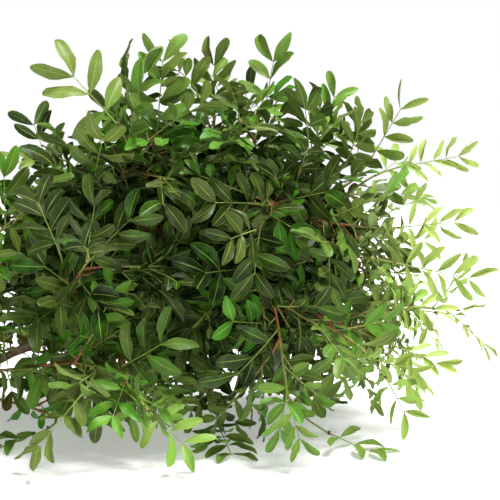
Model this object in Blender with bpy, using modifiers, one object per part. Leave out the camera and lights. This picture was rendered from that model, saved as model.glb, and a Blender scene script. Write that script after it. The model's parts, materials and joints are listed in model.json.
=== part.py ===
"""A cut branch of pistacia, also called lentisk, lying on a level surface.

Metres, with +Z up. The branch lies along X, its cut end towards -X, and rests on z = 0.
One woody stem forks into limbs, and each limb carries leafy shoots. A shoot is one node:
its stem, and on it the leaves, each a stalk with opposite pairs of leaflets.
"""

import math
import random
from dataclasses import dataclass

import bmesh
import bpy
from mathutils import Matrix, Vector
from mathutils.bvhtree import BVHTree

GOLDEN_ANGLE = math.radians(137.508)
SEED = 5

# The crown is an egg, blunt at its front and drawn out towards the cut end. Shoots end on it
CROWN_CENTRE = Vector((0.0, 0.0, 0.158))
CROWN_FRONT = 0.155
CROWN_BACK = 0.275
CROWN_SIDE = 0.118
CROWN_HEIGHT = 0.128
LOWEST_TIP = 0.016

# The woody stem: its line from the cut end into the crown, and its limbs
STEM_LINE = (
    (-0.400, 0.012, 0.0052),
    (-0.330, 0.006, 0.012),
    (-0.250, -0.004, 0.036),
    (-0.170, -0.006, 0.078),
    (-0.085, 0.004, 0.122),
    (0.000, 0.002, 0.155),
    (0.070, -0.006, 0.172),
)
STEM_RADII = (0.0046, 0.0022)
WOOD_SIDES_STEP, TWIG_SIDES_STEP = 1, 0  # a curve's bevel steps, for 6 and 4 sides
LIMB_COUNT = 10
LIMB_RADII = (0.0026, 0.0016)
LIMB_REACH = 0.50
LIMB_ANGLE = math.radians(42)
LIMB_FRONT, LIMB_REAR = 0.70, -0.72
LIMB_STEPS = 5
LIMB_PLACES = [k / 100 for k in range(8, 92, 2)]

# Sprays that stand out of the crown: where the last leaf starts and ends, and its pairs.
# Those whose last leaf ends below the surface lie on it, and the branch rests on them
SPRAYS = (
    ((-0.088, -0.060, 0.267), (-0.143, -0.066, 0.330), 3),
    ((-0.059, -0.030, 0.258), (-0.050, -0.038, 0.346), 4),
    ((-0.011, 0.004, 0.279), (-0.011, -0.004, 0.341), 3),
    ((0.033, 0.020, 0.280), (0.045, 0.024, 0.348), 3),
    ((0.082, 0.030, 0.259), (0.104, 0.038, 0.311), 3),
    ((0.124, -0.004, 0.236), (0.160, -0.012, 0.300), 4),
    ((0.152, 0.020, 0.230), (0.226, 0.034, 0.243), 5),
    ((0.143, -0.050, 0.182), (0.208, -0.062, 0.190), 4),
    ((0.139, -0.060, 0.154), (0.220, -0.076, 0.138), 5),
    ((0.144, -0.020, 0.112), (0.198, -0.028, 0.108), 3),
    ((0.142, -0.080, 0.086), (0.188, -0.096, 0.070), 3),
    ((0.127, -0.110, 0.069), (0.150, -0.128, 0.028), 3),
    ((0.051, -0.130, 0.052), (0.062, -0.148, 0.012), 3),
    ((-0.059, -0.138, 0.048), (-0.016, -0.158, 0.012), 3),
    ((-0.108, -0.132, 0.062), (-0.156, -0.166, 0.012), 4),
    ((-0.147, 0.004, 0.238), (-0.200, -0.004, 0.234), 3),
    ((0.085, -0.070, 0.012), (0.137, -0.100, -0.004), 3),
    ((0.060, 0.080, 0.012), (0.105, 0.122, -0.004), 3),
    ((-0.090, 0.085, 0.012), (-0.125, 0.135, -0.004), 3),
    ((-0.150, -0.055, 0.012), (-0.205, -0.085, -0.004), 3),
    ((-0.005, -0.060, 0.012), (0.010, -0.118, -0.004), 3),
    ((-0.020, 0.045, 0.012), (-0.008, 0.105, -0.004), 3),
)
SHOOT_COUNT = 25
SHOOT_FRONT, SHOOT_REAR = 0.93, -0.93
SHOOT_RADII = (0.0015, 0.0008)
SHOOT_ANGLE = math.radians(40)
WIDEST_END_ANGLE = math.radians(75)
SHOOT_LENGTH = 0.120
LENGTH_WEIGHT = 1.2
SHOOT_STEPS = 5
SHOOT_PLACES = [k / 100 for k in range(10, 97, 3)]
STRAIGHT_BASE = 0.003
TIP_SPACING = 0.076
FORK_SPACING = 0.014
STEM_CLEARANCE = 0.003
JOINT_GAP = 0.0003
JOINT_ZONE = 0.010
SEATING_STEPS = 4
TEST_STEP = 0.002

# How strongly a stem's line keeps its first direction, and its last
FIRST_PULL, LAST_PULL = 0.38, 0.32
KEPT_HEADING = 0.3
NEAREST_GOALS = 3
BASE_RING_REACH = 1.2
SAME_POINT = 1e-5
UP = Vector((0.0, 0.0, 1.0))

# The leaves: pairs of leaflets on a stalk, spaced along the shoot
LEAF_PITCH = 0.0165
LEAF_EVERY = 3
MOST_LEAVES = 3
FIRST_LEAF = 0.14
FEWEST_PLACES = 4
PAIR_COUNTS, FEWER_PAIR_COUNTS = (2, 3, 3, 3, 4), (2, 3)
LEAFLET_LENGTH = 0.036
LEAFLET_WIDTH_RATIO = 0.40
LEAFLET_OUTLINE = ((0.38, 1.0), (0.93, 0.36))
LEAFLET_BASE_RATIO = 1.2
OUTER_PAIR_SHRINK = 0.10
PAIR_PITCH_RATIO = 0.50
STALK_RATIO = 0.40
STALK_HALF_WIDTH = 0.0010
STALK_END_RATIO = 0.07
STALK_ROOT = 0.0005
LEAFLET_RISE = math.radians(9)
LEAFLET_DROOP = 6.0
FIRST_PAIR_ANGLE = math.radians(66)
LAST_PAIR_ANGLE = math.radians(36)
BLADE_THICKNESS = 0.0007
LEAF_CURL, LEAF_TWIST = (1.0, 9.0), (-0.5, 0.5)
SPRAY_CURL, SPRAY_TWIST = (0.5, 3.0), (-0.3, 0.3)
LYING_CURL, LYING_SHRINK = 0.5, 0.3

# How a leaf turns: it opens wide low on the shoot, and faces outwards, up and to the viewer
WIDEST_OPENING, NARROWEST_OPENING = 62, 18
OPENING_SPREAD = 10
TURN_SPREAD, ROLL_SPREAD = 0.3, 0.25
TURN_WANDER, ROLL_WANDER = 2.6, 1.1
SPRAY_SWERVE, SPRAY_TILT = 0.5, 0.5
INNER_SIDE_SHARE = 0.6
SIZE_SPREAD = (0.88, 1.10)
TIP_SHRINK = 0.22
LIGHT = Vector((0.0, -0.35, 0.75))
TOWARDS_VIEWER = Vector((0.0, -0.96, 0.28))

# How a leaf finds its room: each try turns it further, and later ones make it smaller
LEAF_TRIES = 40
WIDE_AFTER, FEWER_PAIRS_AFTER = 12, 25
LAST_TRY_SHRINK = 0.25
LEAF_CLEARANCE = 0.0011
FREE_STALK_SHARE = 0.6
DEEPEST_PRESS = 0.014
FLAT_ENOUGH = 0.62

COLOURS = {
    "wood": (0.215, 0.120, 0.062, 1.0),
    "leaf": (0.090, 0.205, 0.030, 1.0),
}
ROUGHNESS = {"wood": 0.75, "leaf": 0.42}


@dataclass
class Stem:
    """A stem's centre line, with the radius at its start and end."""

    path: list
    radii: tuple

    def length(self):
        return sum((b - a).length for a, b in zip(self.path, self.path[1:]))

    def at(self, share):
        """The point, direction and radius at a share of the stem's length."""
        left = share * self.length()
        for a, b in zip(self.path, self.path[1:]):
            step = (b - a).length
            if left <= step:
                break
            left -= step
        radius = self.radii[0] + (self.radii[1] - self.radii[0]) * share
        return a.lerp(b, min(left / step, 1.0)), (b - a).normalized(), radius

    def nearest(self, place):
        """The nearest point of the centre line, with the direction and radius there."""
        best = None
        for k, (a, b) in enumerate(zip(self.path, self.path[1:])):
            share = (place - a).dot(b - a) / (b - a).length_squared
            share = max(0.0, min(1.0, share))
            spot = a.lerp(b, share)
            if best is None or (place - spot).length < (place - best[0]).length:
                along = (k + share) / (len(self.path) - 1)
                radius = self.radii[0] + (self.radii[1] - self.radii[0]) * along
                best = (spot, (b - a).normalized(), radius)
        return best


@dataclass
class Shoot:
    """A leafy shoot: its stem, and where its leaves turn their upper sides to.

    A spray also has its last leaf's end and number of pairs, and another shoot has 0 pairs there.
    """

    stem: Stem
    facing: Vector
    last_leaf_end: Vector
    last_leaf_pairs: int


@dataclass
class Leaf:
    """One compound leaf: where it grows, how many pairs it has and how it bends."""

    place: Matrix
    pairs: int
    leaflet: float
    curl: float
    twist: float

    def stalk(self):
        return self.leaflet * (STALK_RATIO + PAIR_PITCH_RATIO * (self.pairs - 1))


def clear_scene():
    for obj in list(bpy.data.objects):
        bpy.data.objects.remove(obj, do_unlink=True)


def material(name):
    finish = bpy.data.materials.new(name)
    finish.use_nodes = True
    shader = finish.node_tree.nodes["Principled BSDF"]
    shader.inputs["Base Color"].default_value = COLOURS[name]
    shader.inputs["Roughness"].default_value = ROUGHNESS[name]
    shader.inputs["Metallic"].default_value = 0.0
    return finish


def on_crown(direction, reach=1.0):
    """The point at a share of the way from the crown's centre to its outside."""
    along = CROWN_FRONT if direction.x > 0 else CROWN_BACK
    half = Vector((along, CROWN_SIDE, CROWN_HEIGHT))
    place = CROWN_CENTRE + reach * Vector(d * h for d, h in zip(direction, half))
    place.z = max(place.z, LOWEST_TIP)
    return place


def spiral_directions(count, front, rear):
    """Directions spread evenly over a ball, in a golden-angle spiral from front to rear."""
    found = []
    for k in range(count):
        x = front + (rear - front) * k / (count - 1)
        ring = math.sqrt(1 - x * x)
        turn = k * GOLDEN_ANGLE
        found.append(Vector((x, ring * math.cos(turn), ring * math.sin(turn))))
    return found


def smooth_line(points, steps):
    """A Catmull-Rom line through points, with that many steps between each two."""
    ends = [2 * points[0] - points[1], *points, 2 * points[-1] - points[-2]]
    line = []
    for a, b, c, d in zip(ends, ends[1:], ends[2:], ends[3:]):
        for k in range(steps):
            t = k / steps
            line.append(
                0.5
                * (
                    2 * b
                    + (c - a) * t
                    + (2 * a - 5 * b + 4 * c - d) * t**2
                    + (3 * b - a - 3 * c + d) * t**3
                )
            )
    return [*line, points[-1]]


def arc_line(start, direction, end, steps, heading=None):
    """A smooth line that leaves start in a direction and bends over to end, in a heading there."""
    reach = (end - start).length
    if heading is None:
        straight = (end - start).normalized()
        heading = (straight * (1 - KEPT_HEADING) + direction * KEPT_HEADING).normalized()
    first = start + direction * reach * FIRST_PULL
    second = end - heading * reach * LAST_PULL
    line = []
    for k in range(steps + 1):
        t = k / steps
        line.append(
            start * (1 - t) ** 3
            + first * 3 * t * (1 - t) ** 2
            + second * 3 * t**2 * (1 - t)
            + end * t**3
        )
    return line


def leaving_direction(stem_direction, towards, angle):
    """The direction that forks off a stem at an angle, on the side that towards lies."""
    sideways = towards - stem_direction * towards.dot(stem_direction)
    return stem_direction * math.cos(angle) + sideways.normalized() * math.sin(angle)


def grow_limbs(trunk):
    """The limbs, each leaving the trunk where it can reach its end at its natural angle."""
    limbs = []
    for direction in spiral_directions(LIMB_COUNT, LIMB_FRONT, LIMB_REAR):
        end = on_crown(direction, LIMB_REACH)
        best = None
        for share in LIMB_PLACES:
            start, along, _ = trunk.at(share)
            miss = abs((end - start).angle(along) - LIMB_ANGLE)
            crowd = sum((start - limb.path[0]).length < FORK_SPACING for limb in limbs)
            if best is None or miss + crowd < best[0]:
                best = (miss + crowd, start, along)
        _, start, along = best
        leaving = leaving_direction(along, end - start, LIMB_ANGLE)
        limbs.append(Stem(arc_line(start, leaving, end, LIMB_STEPS), LIMB_RADII))
    return limbs


def shoot_goals():
    """Where shoots end: (tip, end of its last leaf, pairs), for the sprays and then a spiral.

    A shoot of the spiral has no set last leaf, and is left out where a spray is near.
    """
    goals = [(Vector(tip), Vector(leaf_end), pairs) for tip, leaf_end, pairs in SPRAYS]
    for direction in spiral_directions(SHOOT_COUNT, SHOOT_FRONT, SHOOT_REAR):
        tip = on_crown(direction)
        if all((tip - goal[0]).length > TIP_SPACING for goal in goals):
            goals.append((tip, tip + direction, 0))
    return goals


def apart(path, stems, own):
    """Whether a shoot along this path keeps clear of all stems, and of its own past its base.

    At its base the shoot's cut end stands off its own stem by the joint's gap.
    """
    shoot = Stem(path, SHOOT_RADII)
    steps = round(shoot.length() / TEST_STEP)
    for k in range(steps + 1):
        place, along, radius = shoot.at(k / steps)
        for stem in stems:
            nearest, direction, thickness = stem.nearest(place)
            limit = thickness + radius + STEM_CLEARANCE
            if stem is own and k * TEST_STEP < JOINT_ZONE:
                in_line = stem.path[-1] == nearest
                limit = 0.0 if in_line else thickness + radius * abs(along.dot(direction))
            if (place - nearest).length < limit:
                return False
    return True


def shoot_path(parent, share, goal):
    """A shoot's line from its parent's surface, or from its end, to the tip."""
    tip, leaf_end, pairs = goal
    heading = (leaf_end - tip).normalized() if pairs else None
    start, leaving, radius = parent.at(share)
    clear = JOINT_GAP
    if share < 1.0:
        leaving = leaving_direction(leaving, tip - start, SHOOT_ANGLE)
        clear = (radius + JOINT_GAP) / math.sin(SHOOT_ANGLE)
        clear += SHOOT_RADII[0] / math.tan(SHOOT_ANGLE)
    start += leaving * clear
    bend_from = start + leaving * STRAIGHT_BASE
    return [start, *arc_line(bend_from, leaving, tip, SHOOT_STEPS, heading)]


def grow_shoots(trunk, limbs):
    """The shoots: one at each limb's end, and the others where they fork off best."""
    parents = [trunk, *limbs]
    goals = shoot_goals()
    stems = list(parents)
    forks = []
    shoots = []

    def add(parent, share, goal, path):
        stem = Stem(path, SHOOT_RADII)
        stems.append(stem)
        forks.append(parent.at(share)[0])
        outward = (goal[0] - CROWN_CENTRE).normalized()
        facing = (outward + LIGHT).normalized()
        shoots.append(Shoot(stem, facing, *goal[1:]))

    for parent in parents:
        end, along, _ = parent.at(1.0)
        reachable = [g for g in goals if (g[0] - end).angle(along) < WIDEST_END_ANGLE]
        nearest = sorted(reachable, key=lambda g: (g[0] - end).length)
        for goal in nearest[:NEAREST_GOALS]:
            path = shoot_path(parent, 1.0, goal)
            if apart(path, stems, parent):
                goals.remove(goal)
                add(parent, 1.0, goal, path)
                break
    for goal in goals:
        choices = []
        for parent in parents:
            for share in SHOOT_PLACES:
                start, along, _ = parent.at(share)
                angle_off = abs((goal[0] - start).angle(along) - SHOOT_ANGLE)
                length_off = abs((goal[0] - start).length - SHOOT_LENGTH) / SHOOT_LENGTH
                choices.append((angle_off + LENGTH_WEIGHT * length_off, share, parent))
        for _, share, parent in sorted(choices, key=lambda choice: choice[0]):
            start = parent.at(share)[0]
            if any((start - fork).length < FORK_SPACING for fork in forks):
                continue
            path = shoot_path(parent, share, goal)
            if apart(path, stems, parent):
                add(parent, share, goal, path)
                break
    return shoots


def leaf_sheet(pairs, leaflet, grow=0.0):
    """A leaf before it bends, as one thin sheet: its points (along, across, up) and triangles.

    The outline is cut to the stalk between the leaflets.
    """
    points, faces = [], []

    def add(along, across, up):
        points.append(Vector((along, across, up)))
        return len(points) - 1

    half = STALK_HALF_WIDTH
    last = {side: add(-STALK_ROOT, side * half, 0.0) for side in (1, -1)}
    for k in range(pairs):
        share = k / max(pairs - 1, 1)
        angle = FIRST_PAIR_ANGLE + (LAST_PAIR_ANGLE - FIRST_PAIR_ANGLE) * share
        along = leaflet * (STALK_RATIO + PAIR_PITCH_RATIO * k)
        length = leaflet * (1.0 - OUTER_PAIR_SHRINK * abs(share - 0.5)) + grow
        wide = leaflet * LEAFLET_WIDTH_RATIO / 2 + grow
        first, later = {}, {}
        for side in (1, -1):
            first[side] = add(along - LEAFLET_BASE_RATIO * half, side * half, 0.0)
            axis = Vector((math.cos(angle), side * math.sin(angle)))
            edge = Vector((math.sin(angle), -side * math.cos(angle)))
            rim = [first[side]]
            turns = [(far, -off) for far, off in LEAFLET_OUTLINE]
            turns += [(far, off) for far, off in reversed(LEAFLET_OUTLINE)]
            for far, off in turns:
                out = far * length
                spot = Vector((along, side * half)) + axis * out + edge * off * wide
                rise = out * math.sin(LEAFLET_RISE) - LEAFLET_DROOP * out**2
                rim.append(add(spot.x, spot.y, rise))
            later[side] = add(along + LEAFLET_BASE_RATIO * half, side * half, 0.0)
            rim.append(later[side])
            for a, b, c in ((0, 1, 5), (1, 4, 5), (1, 2, 4), (2, 3, 4)):
                corners = (rim[a], rim[b], rim[c])
                faces.append(corners if side == -1 else corners[::-1])
        for near, far in ((last, first), (first, later)):
            faces.append((near[-1], far[1], near[1]))
            faces.append((near[-1], far[-1], far[1]))
        last = later
    end = add(points[last[1]].x + leaflet * STALK_END_RATIO, 0.0, 0.0)
    faces.append((last[-1], end, last[1]))
    return points, faces


def bend(leaf, point, lift=0.0):
    """A point of the flat leaf, raised by lift, in its place on the bent and twisted leaf."""
    turn = leaf.twist * point.x / leaf.stalk()
    across = point.y * math.cos(turn) - point.z * math.sin(turn)
    up = point.z * math.cos(turn) + point.y * math.sin(turn) + lift
    sweep = leaf.curl * point.x
    along = math.sin(sweep) / leaf.curl + up * math.sin(sweep)
    up = up * math.cos(sweep) - (1 - math.cos(sweep)) / leaf.curl
    return leaf.place @ Vector((along, across, up))


def laid(point):
    """A point that would pass through the surface lies on it, half a blade up."""
    return Vector((point.x, point.y, max(point.z, BLADE_THICKNESS / 2)))


def leaf_mesh(name, leaf):
    """The leaf's blade as a mesh: its bent sheet, thickened evenly to both sides."""
    sheet, faces = leaf_sheet(leaf.pairs, leaf.leaflet)
    flat = bpy.data.meshes.new(name)
    flat.from_pydata([laid(bend(leaf, point)) for point in sheet], [], faces)
    blade = bpy.data.objects.new(name, flat)
    bpy.context.scene.collection.objects.link(blade)
    thicken = blade.modifiers.new("thicken", "SOLIDIFY")
    thicken.thickness = BLADE_THICKNESS
    thicken.offset = 0.0
    graph = bpy.context.evaluated_depsgraph_get()
    mesh = bpy.data.meshes.new_from_object(blade.evaluated_get(graph))
    bpy.data.objects.remove(blade)
    return mesh


def leaf_shell(leaf, around, free=0.0):
    """The leaf's blade, with a clearance around it, as points and faces for a tree.

    The stalk is left out up to the length free.
    """
    sheet, faces = leaf_sheet(leaf.pairs, leaf.leaflet, around)
    sheet = [Vector((max(point.x, free), point.y, point.z)) for point in sheet]
    lift = around + BLADE_THICKNESS / 2
    points = [bend(leaf, point, lift) for point in sheet]
    points += [bend(leaf, point, -lift) for point in sheet]
    count = len(sheet)
    shell = [*faces, *(tuple(k + count for k in face) for face in faces)]
    edges = {(a, b) for face in faces for a, b in zip(face, face[1:] + face[:1])}
    shell += [(a, b, b + count, a + count) for a, b in edges if (b, a) not in edges]
    return points, shell


def leaf_tree(leaf, around=0.0, free=0.0):
    """A tree of the leaf's blade where it lies, for room tests."""
    points, shell = leaf_shell(leaf, around, free)
    low = -around
    return BVHTree.FromPolygons([Vector((p.x, p.y, max(p.z, low))) for p in points], shell)


def leaf_shares(stem):
    """The places of a shoot's leaves, as shares of its length, the last at its tip."""
    count = max(FEWEST_PLACES, round(stem.length() * (1 - FIRST_LEAF) / LEAF_PITCH))
    return [FIRST_LEAF + (1 - FIRST_LEAF) * k / (count - 1) for k in range(count)]


def turned_place(start, ahead, up):
    """The placement at start whose x axis runs ahead and whose z axis is nearest to up."""
    ahead = ahead.normalized()
    up = (up - ahead * up.dot(ahead)).normalized()
    place = Matrix((ahead, up.cross(ahead), up)).transposed().to_4x4()
    place.translation = start
    return place


def spray_leaf(shoot, draw, attempt):
    """The last leaf of a spray: from the shoot's tip to its set end, its upper side in view."""
    start = shoot.stem.path[-1]
    reach = shoot.last_leaf_end - start
    pairs = shoot.last_leaf_pairs
    past_first_pair = PAIR_PITCH_RATIO * (pairs - 1) + math.cos(LAST_PAIR_ANGLE)
    leaflet = reach.length / (STALK_RATIO + past_first_pair)
    wander = attempt / LEAF_TRIES
    swerve = Vector(draw.uniform(-1, 1) for _ in range(3)) * SPRAY_SWERVE * wander
    if shoot.last_leaf_end.z < 0:
        place = turned_place(start, reach, UP)
        return Leaf(place, pairs, leaflet * (1 - LYING_SHRINK * wander), LYING_CURL, 0.0)
    tilt = Vector(draw.uniform(-1, 1) for _ in range(3)) * (SPRAY_TILT + wander)
    place = turned_place(start, reach.normalized() + swerve, TOWARDS_VIEWER + tilt)
    return Leaf(place, pairs, leaflet, draw.uniform(*SPRAY_CURL), draw.uniform(*SPRAY_TWIST))


def rule_leaf(shoot, share, order, draw, attempt):
    """A leaf at a share of a shoot, turned by a random draw that widens with each attempt."""
    wander = min(1.0, attempt / WIDE_AFTER)
    start, along, _ = shoot.stem.at(share)
    turn = order * GOLDEN_ANGLE + draw.uniform(-1, 1) * (TURN_SPREAD + TURN_WANDER * wander)
    radial = Matrix.Rotation(turn, 3, along) @ along.orthogonal().normalized()
    opening = WIDEST_OPENING + (NARROWEST_OPENING - WIDEST_OPENING) * share**3
    opening += draw.uniform(-1, 1) * OPENING_SPREAD * (1 + wander)
    outward, inward = math.sin(math.radians(opening)), math.cos(math.radians(opening))
    ahead = along * inward + radial * outward
    towards_stem = along * outward - radial * inward
    light = shoot.facing - ahead * shoot.facing.dot(ahead)
    roll = draw.uniform(-1, 1) * (ROLL_SPREAD + ROLL_WANDER * wander)
    up = Matrix.Rotation(roll, 3, ahead) @ (towards_stem * INNER_SIDE_SHARE + light)
    leaflet = LEAFLET_LENGTH * draw.uniform(*SIZE_SPREAD) * (1 - TIP_SHRINK * share)
    leaflet *= 1 - LAST_TRY_SHRINK * attempt / LEAF_TRIES
    pairs = draw.choice(PAIR_COUNTS if attempt < FEWER_PAIRS_AFTER else FEWER_PAIR_COUNTS)
    place = turned_place(start, ahead, up)
    return Leaf(place, pairs, leaflet, draw.uniform(*LEAF_CURL), draw.uniform(*LEAF_TWIST))


def has_room(leaf, number, placed):
    """Whether a leaf keeps clear of what is placed, and can lie down where it meets the surface.

    The first part of its stalk is free to meet its own shoot.
    """
    lowest = min(point.z for point in leaf_shell(leaf, LEAF_CLEARANCE)[0])
    if lowest < -DEEPEST_PRESS:
        return False
    if lowest < 0.0 and abs((leaf.place.to_3x3() @ UP).z) < FLAT_ENOUGH:
        return False
    room = leaf_tree(leaf, LEAF_CLEARANCE)
    loose = leaf_tree(leaf, LEAF_CLEARANCE, leaf.leaflet * STALK_RATIO * FREE_STALK_SHARE)
    return not any((loose if own == number else room).overlap(tree) for own, tree in placed)


def mesh_tree(*meshes):
    """A tree of all faces of one mesh or more."""
    points, faces = [], []
    for mesh in meshes:
        first = len(points)
        points += [vertex.co.copy() for vertex in mesh.vertices]
        faces += [tuple(first + k for k in face.vertices) for face in mesh.polygons]
    return BVHTree.FromPolygons(points, faces)


def grow_leaves(shoots, placed):
    """For each shoot, the leaves that found room: one at its tip and at every third place.

    What is placed is a list of (the number of the shoot that it belongs to, its tree).
    """
    draws = [random.Random(SEED * 1000 + number) for number in range(len(shoots))]
    leaves = [[] for _ in shoots]

    def settle(number, make):
        for attempt in range(LEAF_TRIES):
            leaf = make(attempt)
            if has_room(leaf, number, placed):
                placed.append((number, leaf_tree(leaf)))
                leaves[number].append(leaf)
                return

    for number, shoot in enumerate(shoots):
        if shoot.last_leaf_pairs:
            settle(number, lambda attempt: spray_leaf(shoot, draws[number], attempt))
    for number, shoot in enumerate(shoots):
        shares = leaf_shares(shoot.stem)
        for order in range(len(shares) - 1, -1, -LEAF_EVERY)[:MOST_LEAVES]:
            if shares[order] == 1.0 and leaves[number]:
                continue
            share = shares[order]
            settle(number, lambda n: rule_leaf(shoot, share, order, draws[number], n))
    return leaves


def tube_mesh(name, stem, sides):
    """A tapering stem as a mesh, made from a curve with closed ends."""
    curve = bpy.data.curves.new(name, "CURVE")
    curve.dimensions = "3D"
    curve.bevel_depth = stem.radii[0]
    curve.bevel_resolution = sides
    curve.use_fill_caps = True
    spline = curve.splines.new("POLY")
    spline.points.add(len(stem.path) - 1)
    for k, (point, place) in enumerate(zip(spline.points, stem.path)):
        share = k / (len(stem.path) - 1)
        point.co = (*place, 1.0)
        point.radius = 1 + (stem.radii[1] / stem.radii[0] - 1) * share
    guide = bpy.data.objects.new(name, curve)
    bpy.context.scene.collection.objects.link(guide)
    graph = bpy.context.evaluated_depsgraph_get()
    mesh = bpy.data.meshes.new_from_object(guide.evaluated_get(graph))
    bpy.data.objects.remove(guide)
    bpy.data.curves.remove(curve)
    shape = bmesh.new()
    shape.from_mesh(mesh)
    bmesh.ops.remove_doubles(shape, verts=shape.verts, dist=SAME_POINT)
    shape.to_mesh(mesh)
    shape.free()
    return mesh


def seated_twig(name, stem, wood):
    """A shoot's stem as a mesh, its base drawn back until it stands off the wood by the gap."""
    for _ in range(SEATING_STEPS):
        mesh = tube_mesh(name, stem, TWIG_SIDES_STEP)
        base, after = stem.path[:2]
        reach = stem.radii[0] * BASE_RING_REACH
        ring = [v.co for v in mesh.vertices if (v.co - base).length < reach]
        spare = min(wood.find_nearest(corner)[3] for corner in ring) - JOINT_GAP
        stem.path[0] = base - (after - base).normalized() * spare
        bpy.data.meshes.remove(mesh)
    return tube_mesh(name, stem, TWIG_SIDES_STEP)


def fused(name, meshes, finish, home):
    """One closed body from overlapping meshes: the first, with the others joined to it."""
    body = bpy.data.objects.new(name, meshes[0])
    home.objects.link(body)
    if len(meshes) > 1:
        joining = bpy.data.collections.new(name + "_repeats")
        bpy.context.scene.collection.children.link(joining)
        repeats = [bpy.data.objects.new(f"{name}_{k}", m) for k, m in enumerate(meshes[1:])]
        for repeat in repeats:
            joining.objects.link(repeat)
        union = body.modifiers.new("join", "BOOLEAN")
        union.operation = "UNION"
        union.operand_type = "COLLECTION"
        union.collection = joining
        union.solver = "EXACT"
        graph = bpy.context.evaluated_depsgraph_get()
        joined = bpy.data.meshes.new_from_object(body.evaluated_get(graph))
        body.modifiers.clear()
        body.data = joined
        for repeat in repeats:
            bpy.data.objects.remove(repeat)
        bpy.data.collections.remove(joining)
    body.data.name = name
    body.data.materials.clear()
    body.data.materials.append(finish)
    return body


def main():
    clear_scene()
    home = bpy.data.collections.new("pistacia_branch")
    bpy.context.scene.collection.children.link(home)
    wood, green = material("wood"), material("leaf")

    trunk = Stem(smooth_line([Vector(p) for p in STEM_LINE], 2), STEM_RADII)
    limbs = grow_limbs(trunk)
    shoots = grow_shoots(trunk, limbs)

    stems = enumerate([trunk, *limbs])
    woody = [tube_mesh(f"wood_{k}", stem, WOOD_SIDES_STEP) for k, stem in stems]
    wood_tree = mesh_tree(*woody)
    twigs = [seated_twig(f"twig_{k}", shoot.stem, wood_tree) for k, shoot in enumerate(shoots)]
    placed = [(None, wood_tree)]
    placed += [(number, mesh_tree(mesh)) for number, mesh in enumerate(twigs)]
    leaves = grow_leaves(shoots, placed)

    bodies = [fused("woody_stem", woody, wood, home)]
    for number, (twig, kept) in enumerate(zip(twigs, leaves), 1):
        blades = [leaf_mesh(f"leaf_{number}_{k}", leaf) for k, leaf in enumerate(kept)]
        bodies.append(fused(f"leafy_shoot_{number:02d}", [twig, *blades], green, home))

    corners = [vertex.co for body in bodies for vertex in body.data.vertices]
    middle = [
        (min(c[axis] for c in corners) + max(c[axis] for c in corners)) / 2 for axis in (0, 1)
    ]
    floor = min(corner.z for corner in corners)
    for body in bodies:
        body.data.transform(Matrix.Translation((-middle[0], -middle[1], -floor)))
    print(f"{len(shoots)} shoots, {sum(map(len, leaves))} leaves")


main()
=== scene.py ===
"""The looks of a cut pistacia branch, built around its CAD solids.

The stems and the solids' leaves grow here by the same rule and the same random draws as in the
part's source, so that each piece lies on its solid. The leaves that the solids leave out, the
side twigs, the veins, the buds and the bark are added here.
"""

import json
import logging
from collections.abc import Callable
from dataclasses import dataclass, field
from enum import Enum, IntEnum
from functools import partial
from math import cos, pi, radians, sin, sqrt, tan
from random import Random

import bmesh
import bpy
from bpy.types import Collection, ID, Material, Mesh, NodeSocket, NodeTree, Object
from mathutils import Matrix, Quaternion, Vector
from mathutils.bvhtree import BVHTree

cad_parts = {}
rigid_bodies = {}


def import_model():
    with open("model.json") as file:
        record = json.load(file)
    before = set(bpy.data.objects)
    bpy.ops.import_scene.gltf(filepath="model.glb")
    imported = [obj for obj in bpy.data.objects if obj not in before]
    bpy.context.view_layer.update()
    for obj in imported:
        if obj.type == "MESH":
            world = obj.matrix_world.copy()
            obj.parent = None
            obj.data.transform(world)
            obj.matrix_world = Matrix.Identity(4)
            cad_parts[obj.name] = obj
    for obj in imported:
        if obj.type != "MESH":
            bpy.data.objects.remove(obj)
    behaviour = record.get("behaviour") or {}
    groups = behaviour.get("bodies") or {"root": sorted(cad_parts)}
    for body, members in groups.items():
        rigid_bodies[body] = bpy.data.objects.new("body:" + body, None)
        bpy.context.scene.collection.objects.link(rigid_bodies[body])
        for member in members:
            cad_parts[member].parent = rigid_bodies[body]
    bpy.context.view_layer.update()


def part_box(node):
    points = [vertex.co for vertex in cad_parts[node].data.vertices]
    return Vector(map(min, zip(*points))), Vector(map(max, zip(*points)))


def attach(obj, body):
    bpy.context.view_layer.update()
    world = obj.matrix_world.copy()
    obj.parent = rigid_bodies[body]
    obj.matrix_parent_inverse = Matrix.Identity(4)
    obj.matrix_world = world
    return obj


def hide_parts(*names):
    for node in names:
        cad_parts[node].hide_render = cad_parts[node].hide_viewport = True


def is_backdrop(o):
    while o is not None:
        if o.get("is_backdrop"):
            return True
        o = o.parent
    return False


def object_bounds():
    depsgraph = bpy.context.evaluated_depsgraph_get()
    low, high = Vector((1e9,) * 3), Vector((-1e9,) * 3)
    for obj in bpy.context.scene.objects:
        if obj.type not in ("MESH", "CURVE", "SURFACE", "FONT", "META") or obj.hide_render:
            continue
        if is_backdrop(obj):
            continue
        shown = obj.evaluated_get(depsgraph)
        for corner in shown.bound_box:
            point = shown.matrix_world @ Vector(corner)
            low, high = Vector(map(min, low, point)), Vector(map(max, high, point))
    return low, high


Pair = tuple[float, float]
Triple = tuple[float, float, float]

LOG = logging.getLogger("pistacia")
GOLDEN_ANGLE = radians(137.508)
SEED = 5
UP = Vector((0.0, 0.0, 1.0))
SAME_POINT = 1e-5
FAR_ENOUGH = 0.01


class Part(IntEnum):
    """What a point of a shoot's skeleton stands for."""

    LEAFLET = 0
    STEM = 1
    BUD = 2


class Finish(IntEnum):
    """Which material a face of a leafy shoot takes."""

    LEAF_UPPER = 0
    LEAF_UNDER = 1
    YOUNG_STEM = 2
    BUD_SCALE = 3


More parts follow.
